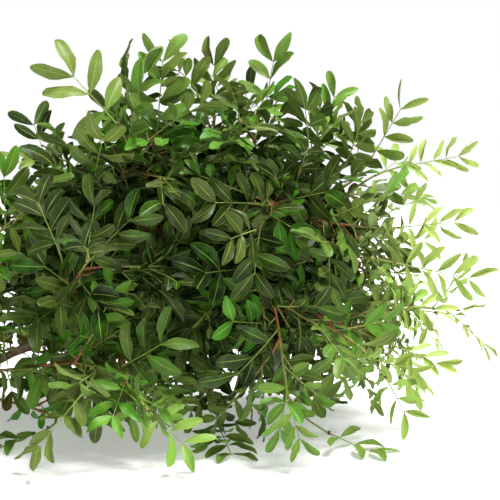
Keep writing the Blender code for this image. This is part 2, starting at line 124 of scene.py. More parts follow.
class Outline(Enum):
    """A leaflet's outline, as (share of the length, share of the half width) from base to tip."""

    ELLIPTIC = (
        ((0.06, 0.20), (0.18, 0.56), (0.34, 0.88), (0.52, 1.0))
        + ((0.71, 0.93), (0.87, 0.67), (0.97, 0.32))
    )
    BLUNT = (
        ((0.06, 0.17), (0.18, 0.46), (0.36, 0.78), (0.56, 0.98))
        + ((0.75, 1.0), (0.90, 0.78), (0.98, 0.42))
    )
    SLENDER = (
        ((0.06, 0.20), (0.17, 0.54), (0.32, 0.88), (0.48, 1.0))
        + ((0.66, 0.88), (0.83, 0.60), (0.96, 0.26))
    )
    NIBBLED = (
        ((0.06, 0.20), (0.18, 0.58), (0.34, 0.90), (0.49, 1.0))
        + ((0.60, 0.66), (0.73, 0.72), (0.93, 0.42))
    )


def linear(colour: str) -> tuple[float, float, float, float]:
    """Turns an sRGB hex colour to linear.

    Args:
        colour: The colour as "#rrggbb".

    Returns:
        Red, green and blue in linear light, and full alpha.
    """
    parts = [int(colour[k : k + 2], 16) / 255 for k in (1, 3, 5)]
    bright = [((c + 0.055) / 1.055) ** 2.4 if c > 0.04045 else c / 12.92 for c in parts]
    return (*bright, 1.0)


def blend(low: float, high: float, share: float) -> float:
    """The value at a share of the way from low to high."""
    return low + (high - low) * share


def clamped(value: float) -> float:
    """The value, kept from 0 to 1."""
    return min(1.0, max(0.0, value))


def even_shares(count: int) -> list[float]:
    """A count of even steps from 0 to 1."""
    return [k / (count - 1) for k in range(count)]


def random_way(draw: Random) -> Vector:
    """A random way, up to 1 along each axis."""
    return Vector(draw.uniform(-1, 1) for _ in range(3))


def linked(name: str, data: ID) -> Object:
    """Makes an object and links it to the scene.

    Args:
        name: Its name.
        data: Its data.

    Returns:
        The object.
    """
    thing = bpy.data.objects.new(name, data)
    bpy.context.scene.collection.objects.link(thing)
    return thing


def plain_mesh(thing: Object) -> Mesh:
    """Makes a plain mesh of an object as its modifiers leave it, and removes the object.

    Args:
        thing: The object.

    Returns:
        The mesh.
    """
    graph = bpy.context.evaluated_depsgraph_get()
    mesh = bpy.data.meshes.new_from_object(thing.evaluated_get(graph))
    bpy.data.objects.remove(thing)
    return mesh


def finished(shape: bmesh.types.BMesh, name: str) -> Mesh:
    """Turns a drawn shape to a mesh.

    Args:
        shape: The shape, which is freed.
        name: The mesh's name.

    Returns:
        The mesh.
    """
    mesh = bpy.data.meshes.new(name)
    shape.to_mesh(mesh)
    shape.free()
    return mesh


MATH = "ShaderNodeMath"
MIX = "ShaderNodeMix"
RANGE = "ShaderNodeMapRange"
NOISE = "ShaderNodeTexNoise"
VORONOI = "ShaderNodeTexVoronoi"
ATTRIBUTE = "GeometryNodeInputNamedAttribute"
COMPARE = "FunctionNodeCompare"
SMOOTH = {"interpolation_type": "SMOOTHSTEP"}
COLOUR = {"data_type": "RGBA"}
EQUAL = {"data_type": "INT", "operation": "EQUAL"}
PLUS = {"operation": "ADD"}
TIMES = {"operation": "MULTIPLY"}
TIMES_PLUS = {"operation": "MULTIPLY_ADD"}
RELIEF_STRENGTH = 0.6
RINGS_AT_SCALE_1 = 20


def add_node(
    tree: NodeTree,
    kind: str,
    inputs: dict | tuple = (),
    output: str | int = 0,
    **settings: object,
) -> NodeSocket | None:
    """Adds a node with its settings and links.

    Args:
        tree: The node tree that gets it.
        kind: The node's type name.
        inputs: Its values, sockets to link, or lists of those: a tuple in the inputs' order, or
            a dictionary by an input's name or number.
        output: Which of its outputs is given back.
        settings: The node's own properties.

    Returns:
        That output, or None if the node has none.
    """
    node = tree.nodes.new(kind)
    for name, value in settings.items():
        setattr(node, name, value)
    for key, value in inputs.items() if isinstance(inputs, dict) else enumerate(inputs):
        for source in value if isinstance(value, list) else [value]:
            if isinstance(source, NodeSocket):
                tree.links.new(source, node.inputs[key])
            else:
                node.inputs[key].default_value = source
    return node.outputs[output] if node.outputs else None


# The growth rule


@dataclass
class Stem:
    """A stem's centre line, with the radius at its start and end."""

    path: list[Vector]
    radii: Pair

    def length(self) -> float:
        """The length of the centre line."""
        return sum((b - a).length for a, b in zip(self.path, self.path[1:]))

    def at(self, share: float) -> tuple[Vector, Vector, float]:
        """Finds a place along the stem.

        Args:
            share: How far along, from 0 to 1.

        Returns:
            The point, the direction and the radius there.
        """
        left = share * self.length()
        for a, b in zip(self.path, self.path[1:]):
            step = (b - a).length
            if left <= step:
                break
            left -= step
        return a.lerp(b, min(left / step, 1.0)), (b - a).normalized(), blend(*self.radii, share)

    def nearest(self, place: Vector) -> tuple[Vector, Vector, float]:
        """Finds the centre line's nearest point.

        Args:
            place: Any point.

        Returns:
            The nearest point, with the direction and the radius there.
        """
        best = None
        for k, (a, b) in enumerate(zip(self.path, self.path[1:])):
            share = clamped((place - a).dot(b - a) / (b - a).length_squared)
            spot = a.lerp(b, share)
            if best is None or (place - spot).length < (place - best[0]).length:
                radius = blend(*self.radii, (k + share) / (len(self.path) - 1))
                best = (spot, (b - a).normalized(), radius)
        return best

    def clear_of(
        self, stems: list["Stem"], own: "Stem", step: float, zone: float, gap: float, firm: bool
    ) -> bool:
        """Tells whether the stem keeps clear of others.

        Args:
            stems: The others.
            own: The one of them that it forks off.
            step: How closely it is tested.
            zone: The length of its base that may come close to that one.
            gap: The clearance that it keeps.
            firm: Whether its base stays out of that one all the same.

        Returns:
            True if it keeps clear.
        """
        reach = self.length()
        steps = round(reach / step)
        middle = self.path[0].lerp(self.path[-1], 0.5)
        tests = [(k * step < zone, *self.at(k / steps)) for k in range(steps + 1)]
        for stem in stems:
            away = (stem.path[0].lerp(stem.path[-1], 0.5) - middle).length
            if away > (stem.length() + reach) / 2 + FAR_ENOUGH:
                continue
            for at_base, place, along, radius in tests:
                nearest, direction, thickness = stem.nearest(place)
                limit = thickness + radius + gap
                if stem is own and at_base:
                    seated = firm and stem.path[-1] != nearest
                    limit = thickness + radius * abs(along.dot(direction)) if seated else 0.0
                if (place - nearest).length < limit:
                    return False
        return True


@dataclass
class Shoot:
    """A leafy shoot: its stem, where its leaves face, and a spray's set last leaf."""

    stem: Stem
    facing: Vector
    last_leaf_end: Vector
    last_leaf_pairs: int
    vigour: float = 1.0


def smooth_line(points: list[Vector], steps: int) -> list[Vector]:
    """Draws a Catmull-Rom line through points.

    Args:
        points: What the line passes through.
        steps: How many steps it takes between each two.

    Returns:
        The line's points.
    """
    ends = [2 * points[0] - points[1], *points, 2 * points[-1] - points[-2]]
    line = []
    for a, b, c, d in zip(ends, ends[1:], ends[2:], ends[3:]):
        bend, swing = 2 * a - 5 * b + 4 * c - d, 3 * b - a - 3 * c + d
        for k in range(steps):
            t = k / steps
            line.append(0.5 * (2 * b + (c - a) * t + bend * t**2 + swing * t**3))
    return [*line, points[-1]]


def spiral_directions(count: int, front: float, rear: float) -> list[Vector]:
    """Spreads directions evenly over a ball, in a golden-angle spiral.

    Args:
        count: How many.
        front: The X of the first.
        rear: The X of the last.

    Returns:
        The unit directions, from front to rear.
    """
    found = []
    for k in range(count):
        x = front + (rear - front) * k / (count - 1)
        ring = sqrt(1 - x * x)
        turn = k * GOLDEN_ANGLE
        found.append(Vector((x, ring * cos(turn), ring * sin(turn))))
    return found


@dataclass(frozen=True)
class Crown:
    """The egg that the shoots end on, blunt in front and drawn out towards the cut end."""

    centre: Triple = (0.0, 0.0, 0.158)
    front: float = 0.155
    back: float = 0.275
    side: float = 0.118
    height: float = 0.128
    lowest_tip: float = 0.016
    larger_above: float = 0.95
    smaller_ahead: float = 0.6

    def outness(self, place: Vector, side_share: float = 1.0) -> float:
        """Measures how far out a place is.

        Args:
            place: The place.
            side_share: How much its distance to the sides counts.

        Returns:
            From 0 in the middle to 1 at the crown's outside.
        """
        off = place - Vector(self.centre)
        along = self.front if off.x > 0 else self.back
        return Vector((off.x / along, side_share * off.y / self.side, off.z / self.height)).length

    def lushness(self, place: Vector) -> float:
        """How large leaves grow: larger above and behind than below and in front."""
        off = place - Vector(self.centre)
        return 1.0 + self.larger_above * off.z - self.smaller_ahead * off.x

    def place(self, direction: Vector, reach: float = 1.0) -> Vector:
        """Finds a point of the crown.

        Args:
            direction: The way from the crown's centre.
            reach: The share of the way to its outside.

        Returns:
            The point, kept off the surface that the branch lies on.
        """
        along = self.front if direction.x > 0 else self.back
        half = Vector((along, self.side, self.height))
        place = Vector(self.centre) + reach * Vector(d * h for d, h in zip(direction, half))
        place.z = max(place.z, self.lowest_tip)
        return place


@dataclass
class BranchRule:
    """How the stems grow: the trunk's line, its limbs, and the shoots that fork off them."""

    crown: Crown = field(default_factory=Crown)
    line: tuple = (
        (-0.400, 0.012, 0.0052),
        (-0.330, 0.006, 0.012),
        (-0.250, -0.004, 0.036),
        (-0.170, -0.006, 0.078),
        (-0.085, 0.004, 0.122),
        (0.000, 0.002, 0.155),
        (0.070, -0.006, 0.172),
    )
    line_steps: int = 2
    trunk_radii: Pair = (0.0046, 0.0022)
    limb_count: int = 10
    limb_radii: Pair = (0.0026, 0.0016)
    limb_reach: float = 0.50
    limb_angle: float = radians(42)
    limb_range: Pair = (0.70, -0.72)
    limb_steps: int = 5
    limb_places: tuple = tuple(k / 100 for k in range(8, 92, 2))
    sprays: tuple = (
        ((-0.088, -0.060, 0.267), (-0.143, -0.066, 0.330), 3),
        ((-0.059, -0.030, 0.258), (-0.050, -0.038, 0.346), 4),
        ((-0.011, 0.004, 0.279), (-0.011, -0.004, 0.341), 3),
        ((0.033, 0.020, 0.280), (0.045, 0.024, 0.348), 3),
        ((0.082, 0.030, 0.259), (0.104, 0.038, 0.311), 3),
        ((0.124, -0.004, 0.236), (0.160, -0.012, 0.300), 4),
        ((0.152, 0.020, 0.230), (0.226, 0.034, 0.243), 5),
        ((0.143, -0.050, 0.182), (0.208, -0.062, 0.190), 4),
        ((0.139, -0.060, 0.154), (0.220, -0.076, 0.138), 5),
        ((0.144, -0.020, 0.112), (0.198, -0.028, 0.108), 3),
        ((0.142, -0.080, 0.086), (0.188, -0.096, 0.070), 3),
        ((0.127, -0.110, 0.069), (0.150, -0.128, 0.028), 3),
        ((0.051, -0.130, 0.052), (0.062, -0.148, 0.012), 3),
        ((-0.059, -0.138, 0.048), (-0.016, -0.158, 0.012), 3),
        ((-0.108, -0.132, 0.062), (-0.156, -0.166, 0.012), 4),
        ((-0.147, 0.004, 0.238), (-0.200, -0.004, 0.234), 3),
        ((0.085, -0.070, 0.012), (0.137, -0.100, -0.004), 3),
        ((0.060, 0.080, 0.012), (0.105, 0.122, -0.004), 3),
        ((-0.090, 0.085, 0.012), (-0.125, 0.135, -0.004), 3),
        ((-0.150, -0.055, 0.012), (-0.205, -0.085, -0.004), 3),
        ((-0.005, -0.060, 0.012), (0.010, -0.118, -0.004), 3),
        ((-0.020, 0.045, 0.012), (-0.008, 0.105, -0.004), 3),
    )
    shoot_count: int = 25
    shoot_range: Pair = (0.93, -0.93)
    shoot_radii: Pair = (0.0015, 0.0008)
    shoot_angle: float = radians(40)
    widest_end_angle: float = radians(75)
    shoot_length: float = 0.120
    length_weight: float = 1.2
    shoot_steps: int = 5
    shoot_places: tuple = tuple(k / 100 for k in range(10, 97, 3))
    straight_base: float = 0.003
    tip_spacing: float = 0.076
    fork_spacing: float = 0.014
    stem_clearance: float = 0.003
    joint_gap: float = 0.0003
    joint_zone: float = 0.010
    seating_steps: int = 4
    base_ring_reach: float = 1.2
    test_step: float = 0.002
    first_pull: float = 0.38
    last_pull: float = 0.32
    kept_heading: float = 0.3
    nearest_goals: int = 3
    light: Triple = (0.0, -0.35, 0.75)

    def arc(
        self,
        start: Vector,
        direction: Vector,
        end: Vector,
        steps: int,
        heading: Vector | None = None,
    ) -> list[Vector]:
        """Draws a smooth line that leaves start in a direction and bends over to end.

        Args:
            start: Where it starts.
            direction: The way that it leaves.
            end: Where it ends.
            steps: How many steps it takes.
            heading: The way that it arrives, if that is set.

        Returns:
            The line's points.
        """
        reach = (end - start).length
        if heading is None:
            straight = (end - start).normalized()
            kept = self.kept_heading
            heading = (straight * (1 - kept) + direction * kept).normalized()
        first = start + direction * reach * self.first_pull
        second = end - heading * reach * self.last_pull
        line = []
        for t in even_shares(steps + 1):
            s = 1 - t
            line.append(start * s**3 + first * 3 * t * s**2 + second * 3 * t**2 * s + end * t**3)
        return line

    def leaving(self, along: Vector, towards: Vector, angle: float) -> Vector:
        """Finds the direction that forks off a stem.

        Args:
            along: The stem's direction.
            towards: The side that it forks to.
            angle: The angle of the fork.

        Returns:
            The unit direction.
        """
        sideways = towards - along * towards.dot(along)
        return along * cos(angle) + sideways.normalized() * sin(angle)

    def trunk(self) -> Stem:
        """The main stem, from its cut end into the crown."""
        line = smooth_line([Vector(p) for p in self.line], self.line_steps)
        return Stem(line, self.trunk_radii)

    def limbs(self, trunk: Stem) -> list[Stem]:
        """Grows the limbs.

        Args:
            trunk: The main stem.

        Returns:
            One stem for each, leaving the trunk where its end is at its natural angle.
        """
        limbs = []
        for direction in spiral_directions(self.limb_count, *self.limb_range):
            end = self.crown.place(direction, self.limb_reach)

            def fault(fork: tuple) -> float:
                """How far a fork is off its natural angle, and how many others are close."""
                miss = abs((end - fork[0]).angle(fork[1]) - self.limb_angle)
                close = [(fork[0] - limb.path[0]).length < self.fork_spacing for limb in limbs]
                return miss + sum(close)

            start, along, _ = min((trunk.at(share) for share in self.limb_places), key=fault)
            leaving = self.leaving(along, end - start, self.limb_angle)
            limbs.append(Stem(self.arc(start, leaving, end, self.limb_steps), self.limb_radii))
        return limbs

    def goals(self) -> list[tuple[Vector, Vector, int]]:
        """Lists where shoots end.

        Returns:
            For each, its tip, the end of its last leaf, and that leaf's pairs or 0.
        """
        goals = [(Vector(tip), Vector(end), pairs) for tip, end, pairs in self.sprays]
        for direction in spiral_directions(self.shoot_count, *self.shoot_range):
            tip = self.crown.place(direction)
            if all((tip - goal[0]).length > self.tip_spacing for goal in goals):
                goals.append((tip, tip + direction, 0))
        return goals

    def apart(self, path: list[Vector], stems: list[Stem], own: Stem) -> bool:
        """Whether a shoot along this path keeps clear of all stems."""
        limits = (self.test_step, self.joint_zone, self.stem_clearance, True)
        return Stem(path, self.shoot_radii).clear_of(stems, own, *limits)

    def shoot_path(self, parent: Stem, share: float, goal: tuple) -> list[Vector]:
        """Draws a shoot's line.

        Args:
            parent: The stem that it forks off.
            share: How far along that stem.
            goal: Its tip, the end of its last leaf, and the leaf's pairs.

        Returns:
            The line from the parent's surface to the tip.
        """
        tip, leaf_end, pairs = goal
        heading = (leaf_end - tip).normalized() if pairs else None
        start, leaving, radius = parent.at(share)
        clear = self.joint_gap
        if share < 1.0:
            leaving = self.leaving(leaving, tip - start, self.shoot_angle)
            clear = (radius + self.joint_gap) / sin(self.shoot_angle)
            clear += self.shoot_radii[0] / tan(self.shoot_angle)
        start += leaving * clear
        bend_from = start + leaving * self.straight_base
        return [start, *self.arc(bend_from, leaving, tip, self.shoot_steps, heading)]

    def shoots(self, trunk: Stem, limbs: list[Stem]) -> list[Shoot]:
        """Grows the shoots.

        Args:
            trunk: The main stem.
            limbs: The limbs.

        Returns:
            One shoot at each limb's end, then the others where they fork off best.
        """
        parents = [trunk, *limbs]
        goals = self.goals()
        stems = list(parents)
        forks = []
        shoots = []

        def add(parent: Stem, share: float, goal: tuple, path: list[Vector]) -> None:
            """Takes a shoot into the branch."""
            stem = Stem(path, self.shoot_radii)
            stems.append(stem)
            forks.append(parent.at(share)[0])
            outward = (goal[0] - Vector(self.crown.centre)).normalized()
            shoots.append(Shoot(stem, (outward + Vector(self.light)).normalized(), *goal[1:]))

        for parent in parents:
            end, along, _ = parent.at(1.0)
            reachable = [g for g in goals if (g[0] - end).angle(along) < self.widest_end_angle]
            nearest = sorted(reachable, key=lambda g: (g[0] - end).length)
            for goal in nearest[: self.nearest_goals]:
                path = self.shoot_path(parent, 1.0, goal)
                if self.apart(path, stems, parent):
                    goals.remove(goal)
                    add(parent, 1.0, goal, path)
                    break
        for goal in goals:
            choices = []
            for parent in parents:
                for share in self.shoot_places:
                    start, along, _ = parent.at(share)
                    angle_off = abs((goal[0] - start).angle(along) - self.shoot_angle)
                    length_off = abs((goal[0] - start).length - self.shoot_length)
                    length_off /= self.shoot_length
                    choices.append((angle_off + self.length_weight * length_off, share, parent))
            for _, share, parent in sorted(choices, key=lambda choice: choice[0]):
                start = parent.at(share)[0]
                if any((start - fork).length < self.fork_spacing for fork in forks):
                    continue
                path = self.shoot_path(parent, share, goal)
                if self.apart(path, stems, parent):
                    add(parent, share, goal, path)
                    break
        return shoots

    def tube(self, stem: Stem, sides: int) -> Mesh:
        """Makes a tapering stem as the solids have it.

        Args:
            stem: The stem.
            sides: The curve's bevel steps.

        Returns:
            The closed mesh.
        """
        curve = bpy.data.curves.new("tube", "CURVE")
        curve.dimensions = "3D"
        curve.bevel_depth = stem.radii[0]
        curve.bevel_resolution = sides
        curve.use_fill_caps = True
        spline = curve.splines.new("POLY")
        spline.points.add(len(stem.path) - 1)
        shares = even_shares(len(stem.path))
        for point, place, share in zip(spline.points, stem.path, shares):
            point.co = (*place, 1.0)
            point.radius = 1 + (stem.radii[1] / stem.radii[0] - 1) * share
        mesh = plain_mesh(linked("tube", curve))
        bpy.data.curves.remove(curve)
        shape = bmesh.new()
        shape.from_mesh(mesh)
        bmesh.ops.remove_doubles(shape, verts=shape.verts, dist=SAME_POINT)
        shape.to_mesh(mesh)
        shape.free()
        return mesh

    def seat(self, stem: Stem, wood: BVHTree, sides: int) -> None:
        """Draws a shoot's base back until it stands off the wood by the joint's gap.

        Args:
            stem: The shoot's stem, whose first point moves.
            wood: The woody stem's faces.
            sides: The curve's bevel steps.
        """
        for _ in range(self.seating_steps):
            mesh = self.tube(stem, sides)
            base, after = stem.path[:2]
            reach = stem.radii[0] * self.base_ring_reach
            ring = [v.co for v in mesh.vertices if (v.co - base).length < reach]
            spare = min(wood.find_nearest(corner)[3] for corner in ring) - self.joint_gap
            stem.path[0] = base - (after - base).normalized() * spare
            bpy.data.meshes.remove(mesh)


@dataclass
class TwigRule:
    """How short leafy twigs fork off all stems, to fill the crown that the solids leave open."""

    crown: Crown = field(
        default_factory=lambda: Crown(front=0.152, back=0.262, side=0.116, height=0.130)
    )
    shells: tuple = ((0.92, 84), (0.79, 86), (0.66, 92), (0.51, 84), (0.34, 60))
    low_fill: float = 0.36
    low_front_fill: float = 1.1
    bare_rear: float = -0.13
    top_fill: float = 0.012
    rear_droop: float = 0.24
    top_lean: float = 0.20
    facing_spread: float = 0.75
    front: float = 0.96
    rear: float = -0.97
    jitter: float = 0.014
    radii: Pair = (0.0010, 0.0006)
    angle: float = radians(46)
    length: float = 0.045
    longest: float = 0.065
    shortest: float = 0.022
    length_weight: float = 1.2
    steps: int = 4
    places: tuple = tuple(k / 100 for k in range(6, 97, 3))
    fork_spacing: float = 0.008
    clearance: float = 0.0012
    own_zone: float = 0.008
    test_step: float = 0.003
    choices: int = 24
    worst_length: float = 2.0
    vigour: Pair = (0.60, 0.96)

    def targets(self, draw: Random) -> list[tuple[Vector, float]]:
        """Lists where twigs reach to, from the crown's outside inwards.

        Args:
            draw: The random draws.

        Returns:
            Each twig's end and its vigour.
        """
        found = []
        for reach, count in self.shells:
            for direction in spiral_directions(count, self.front, self.rear):
                place = self.crown.place(direction, reach)
                place += random_way(draw) * self.jitter
                low = max(0.0, -direction.z)
                place.y *= 1 + self.low_fill * low
                place.x *= 1 + self.low_front_fill * low * (place.x > 0)
                if low and place.x < self.bare_rear:
                    continue
                place.z += self.top_fill * max(0.0, direction.z)
                place.z += min(0.0, place.x) * self.rear_droop
                place.x -= max(0.0, place.z - self.crown.centre[2]) * self.top_lean
                place.z = max(place.z, self.crown.lowest_tip)
                size = blend(*self.vigour, reach) * self.crown.lushness(place)
                found.append((place, size))
        return found

    def grow(self, rule: BranchRule, stems: list[Stem]) -> list[tuple[int, Shoot]]:
        """Grows the twigs.

        Args:
            rule: The growth rule, for its arcs.
            stems: The trunk, the limbs and the shoots' stems.

        Returns:
            For each twig, the number of the stem that it forks off, and the twig.
        """
        draw = Random(SEED * 4000)
        places = [(n, *stem.at(s)) for n, stem in enumerate(stems) for s in self.places]
        limits = (self.test_step, self.own_zone, self.clearance, False)
        grown = list(stems)
        forks: list[Vector] = []
        twigs = []
        for target, vigour in self.targets(draw):
            scored = []
            for number, start, along, _ in places:
                way = target - start
                off = abs(way.length - self.length) / self.length * self.length_weight
                if off < self.worst_length and way.length > self.shortest:
                    off += abs(way.angle(along) - self.angle)
                    scored.append((off, len(scored), number, start, along))
            for _, _, number, start, along in sorted(scored)[: self.choices]:
                if any((start - fork).length < self.fork_spacing for fork in forks):
                    continue
                way = target - start
                end = start + way.normalized() * min(way.length, self.longest)
                leaving = rule.leaving(along, way, self.angle)
                stem = Stem(rule.arc(start, leaving, end, self.steps), self.radii)
                if stem.clear_of(grown, stems[number], *limits):
                    grown.append(stem)
                    forks.append(start)
                    outward = (end - Vector(self.crown.centre)).normalized()
                    spread = random_way(draw) * self.facing_spread
                    facing = (outward + Vector(rule.light) + spread).normalized()
                    twigs.append((number, Shoot(stem, facing, end, 0, vigour)))
                    break
        return twigs


@dataclass(frozen=True)
class LeafSizes:
    """A compound leaf: leaflets in opposite pairs on a stalk, with none at its end."""

    length: float = 0.036
    width_ratio: float = 0.40
    outline: tuple = ((0.38, 1.0), (0.93, 0.36))
    base_ratio: float = 1.2
    outer_pair_shrink: float = 0.10
    pair_pitch_ratio: float = 0.50
    stalk_ratio: float = 0.40
    stalk_half_width: float = 0.0010
    stalk_end_ratio: float = 0.07
    stalk_root: float = 0.0005
    rise: float = radians(9)
    droop: float = 6.0
    first_pair_angle: float = radians(66)
    last_pair_angle: float = radians(36)
    blade: float = 0.0007

    def lift(self, out: float) -> float:
        """How high a leaflet stands this far out."""
        return out * sin(self.rise) - self.droop * out**2


LEAF = LeafSizes()


@dataclass
class Leaf:
    """One compound leaf: where it grows, how many pairs it has and how it bends."""

    place: Matrix
    pairs: int
    leaflet: float
    curl: float
    twist: float
    youth: float = 0.0

    def stalk(self) -> float:
        """The length of its stalk up to the last pair."""
        return self.leaflet * (LEAF.stalk_ratio + LEAF.pair_pitch_ratio * (self.pairs - 1))

    def pair(self, k: int) -> Triple:
        """Sizes one pair of leaflets.

        Args:
            k: The pair's number, from the base.

        Returns:
            How far along the stalk it is, its angle off the stalk, and its length.
        """
        share = k / max(self.pairs - 1, 1)
        angle = blend(LEAF.first_pair_angle, LEAF.last_pair_angle, share)
        along = self.leaflet * (LEAF.stalk_ratio + LEAF.pair_pitch_ratio * k)
        return along, angle, self.leaflet * (1.0 - LEAF.outer_pair_shrink * abs(share - 0.5))

    def sheet(self, grow: float = 0.0) -> tuple[list[Vector], list[tuple]]:
        """Draws the leaf before it bends, as one thin sheet.

        Args:
            grow: How far the leaflets' rims stand out of their own outline.

        Returns:
            Its points (along, across, up) and its triangles.
        """
        points, faces = [], []

        def add(along: float, across: float, up: float) -> int:
            """Adds a point and gives its number."""
            points.append(Vector((along, across, up)))
            return len(points) - 1

        half = LEAF.stalk_half_width
        last = {side: add(-LEAF.stalk_root, side * half, 0.0) for side in (1, -1)}
        for k in range(self.pairs):
            along, angle, length = self.pair(k)
            length += grow
            wide = self.leaflet * LEAF.width_ratio / 2 + grow
            first, later = {}, {}
            for side in (1, -1):
                first[side] = add(along - LEAF.base_ratio * half, side * half, 0.0)
                axis = Vector((cos(angle), side * sin(angle)))
                edge = Vector((sin(angle), -side * cos(angle)))
                rim = [first[side]]
                turns = [(far, -off) for far, off in LEAF.outline]
                turns += [(far, off) for far, off in reversed(LEAF.outline)]
                for far, off in turns:
                    out = far * length
                    spot = Vector((along, side * half)) + axis * out + edge * off * wide
                    rim.append(add(spot.x, spot.y, LEAF.lift(out)))
                later[side] = add(along + LEAF.base_ratio * half, side * half, 0.0)
                rim.append(later[side])
                for a, b, c in ((0, 1, 5), (1, 4, 5), (1, 2, 4), (2, 3, 4)):
                    corners = (rim[a], rim[b], rim[c])
                    faces.append(corners if side == -1 else corners[::-1])
            for near, far in ((last, first), (first, later)):
                faces.append((near[-1], far[1], near[1]))
                faces.append((near[-1], far[-1], far[1]))
            last = later
        end = add(points[last[1]].x + self.leaflet * LEAF.stalk_end_ratio, 0.0, 0.0)
        faces.append((last[-1], end, last[1]))
        return points, faces

    def bend(self, point: Vector, lift: float = 0.0) -> Vector:
        """Moves a point of the flat leaf to the bent and twisted one.

        Args:
            point: The point (along, across, up).
            lift: How far it is raised off the sheet.

        Returns:
            Its place in the branch.
        """
        turn = self.twist * point.x / self.stalk()
        across = point.y * cos(turn) - point.z * sin(turn)
        up = point.z * cos(turn) + point.y * sin(turn) + lift
        sweep = self.curl * point.x
        along = sin(sweep) / self.curl + up * sin(sweep)
        up = up * cos(sweep) - (1 - cos(sweep)) / self.curl
        return self.place @ Vector((along, across, up))

    def shell(self, around: float, free: float = 0.0) -> tuple[list[Vector], list[tuple]]:
        """Draws the leaf's blade with a clearance around it.

        Args:
            around: The clearance.
            free: The length of stalk that is left out.

        Returns:
            Its points and faces.
        """
        sheet, faces = self.sheet(around)
        sheet = [Vector((max(point.x, free), point.y, point.z)) for point in sheet]
        lift = around + LEAF.blade / 2
        points = [self.bend(point, lift) for point in sheet]
        points += [self.bend(point, -lift) for point in sheet]
        count = len(sheet)
        shell = [*faces, *(tuple(k + count for k in face) for face in faces)]
        edges = {(a, b) for face in faces for a, b in zip(face, face[1:] + face[:1])}
        shell += [(a, b, b + count, a + count) for a, b in edges if (b, a) not in edges]
        return points, shell


@dataclass
class Space:
    """The room that one placed thing takes, and the shoot that it belongs to."""

    owner: int | None
    tree: BVHTree
    middle: Vector
    reach: float

    @classmethod
    def of_mesh(cls, owner: int | None, *meshes: Mesh) -> "Space":
        """Takes the room of meshes.

        Args:
            owner: The shoot that they belong to, or None.
            meshes: One mesh or more.

        Returns:
            Their room.
        """
        points, faces = [], []
        for mesh in meshes:
            first = len(points)
            points += [vertex.co.copy() for vertex in mesh.vertices]
            faces += [tuple(first + k for k in face.vertices) for face in mesh.polygons]
        return cls.of_faces(owner, points, faces)

    @classmethod
    def of_leaf(cls, owner: int, leaf: Leaf, around: float = 0.0, free: float = 0.0) -> "Space":
        """Takes the room of a leaf's blade, laid on the surface where it would pass through it.

        Args:
            owner: The shoot that it grows on.
            leaf: The leaf.
            around: The clearance that the room has around the blade.
            free: The length of stalk that is left out.

        Returns:
            Its room.
        """
        points, shell = leaf.shell(around, free)
        return cls.of_faces(owner, [Vector((p.x, p.y, max(p.z, -around))) for p in points], shell)

    @classmethod
    def of_faces(cls, owner: int | None, points: list[Vector], faces: list[tuple]) -> "Space":
        """Takes the room of faces.

        Args:
            owner: The shoot that they belong to, or None.
            points: Their points.
            faces: The numbers of each face's points.

        Returns:
            Their room.
        """
        middle = sum(points, Vector()) / len(points)
        reach = max((point - middle).length for point in points)
        return cls(owner, BVHTree.FromPolygons(points, faces), middle, reach)

    def close_to(self, other: "Space") -> bool:
        """Whether the balls round the two overlap."""
        return (self.middle - other.middle).length < self.reach + other.reach

    def meets(self, other: "Space") -> bool:
        """Whether the two overlap."""
        return bool(self.tree.overlap(other.tree))


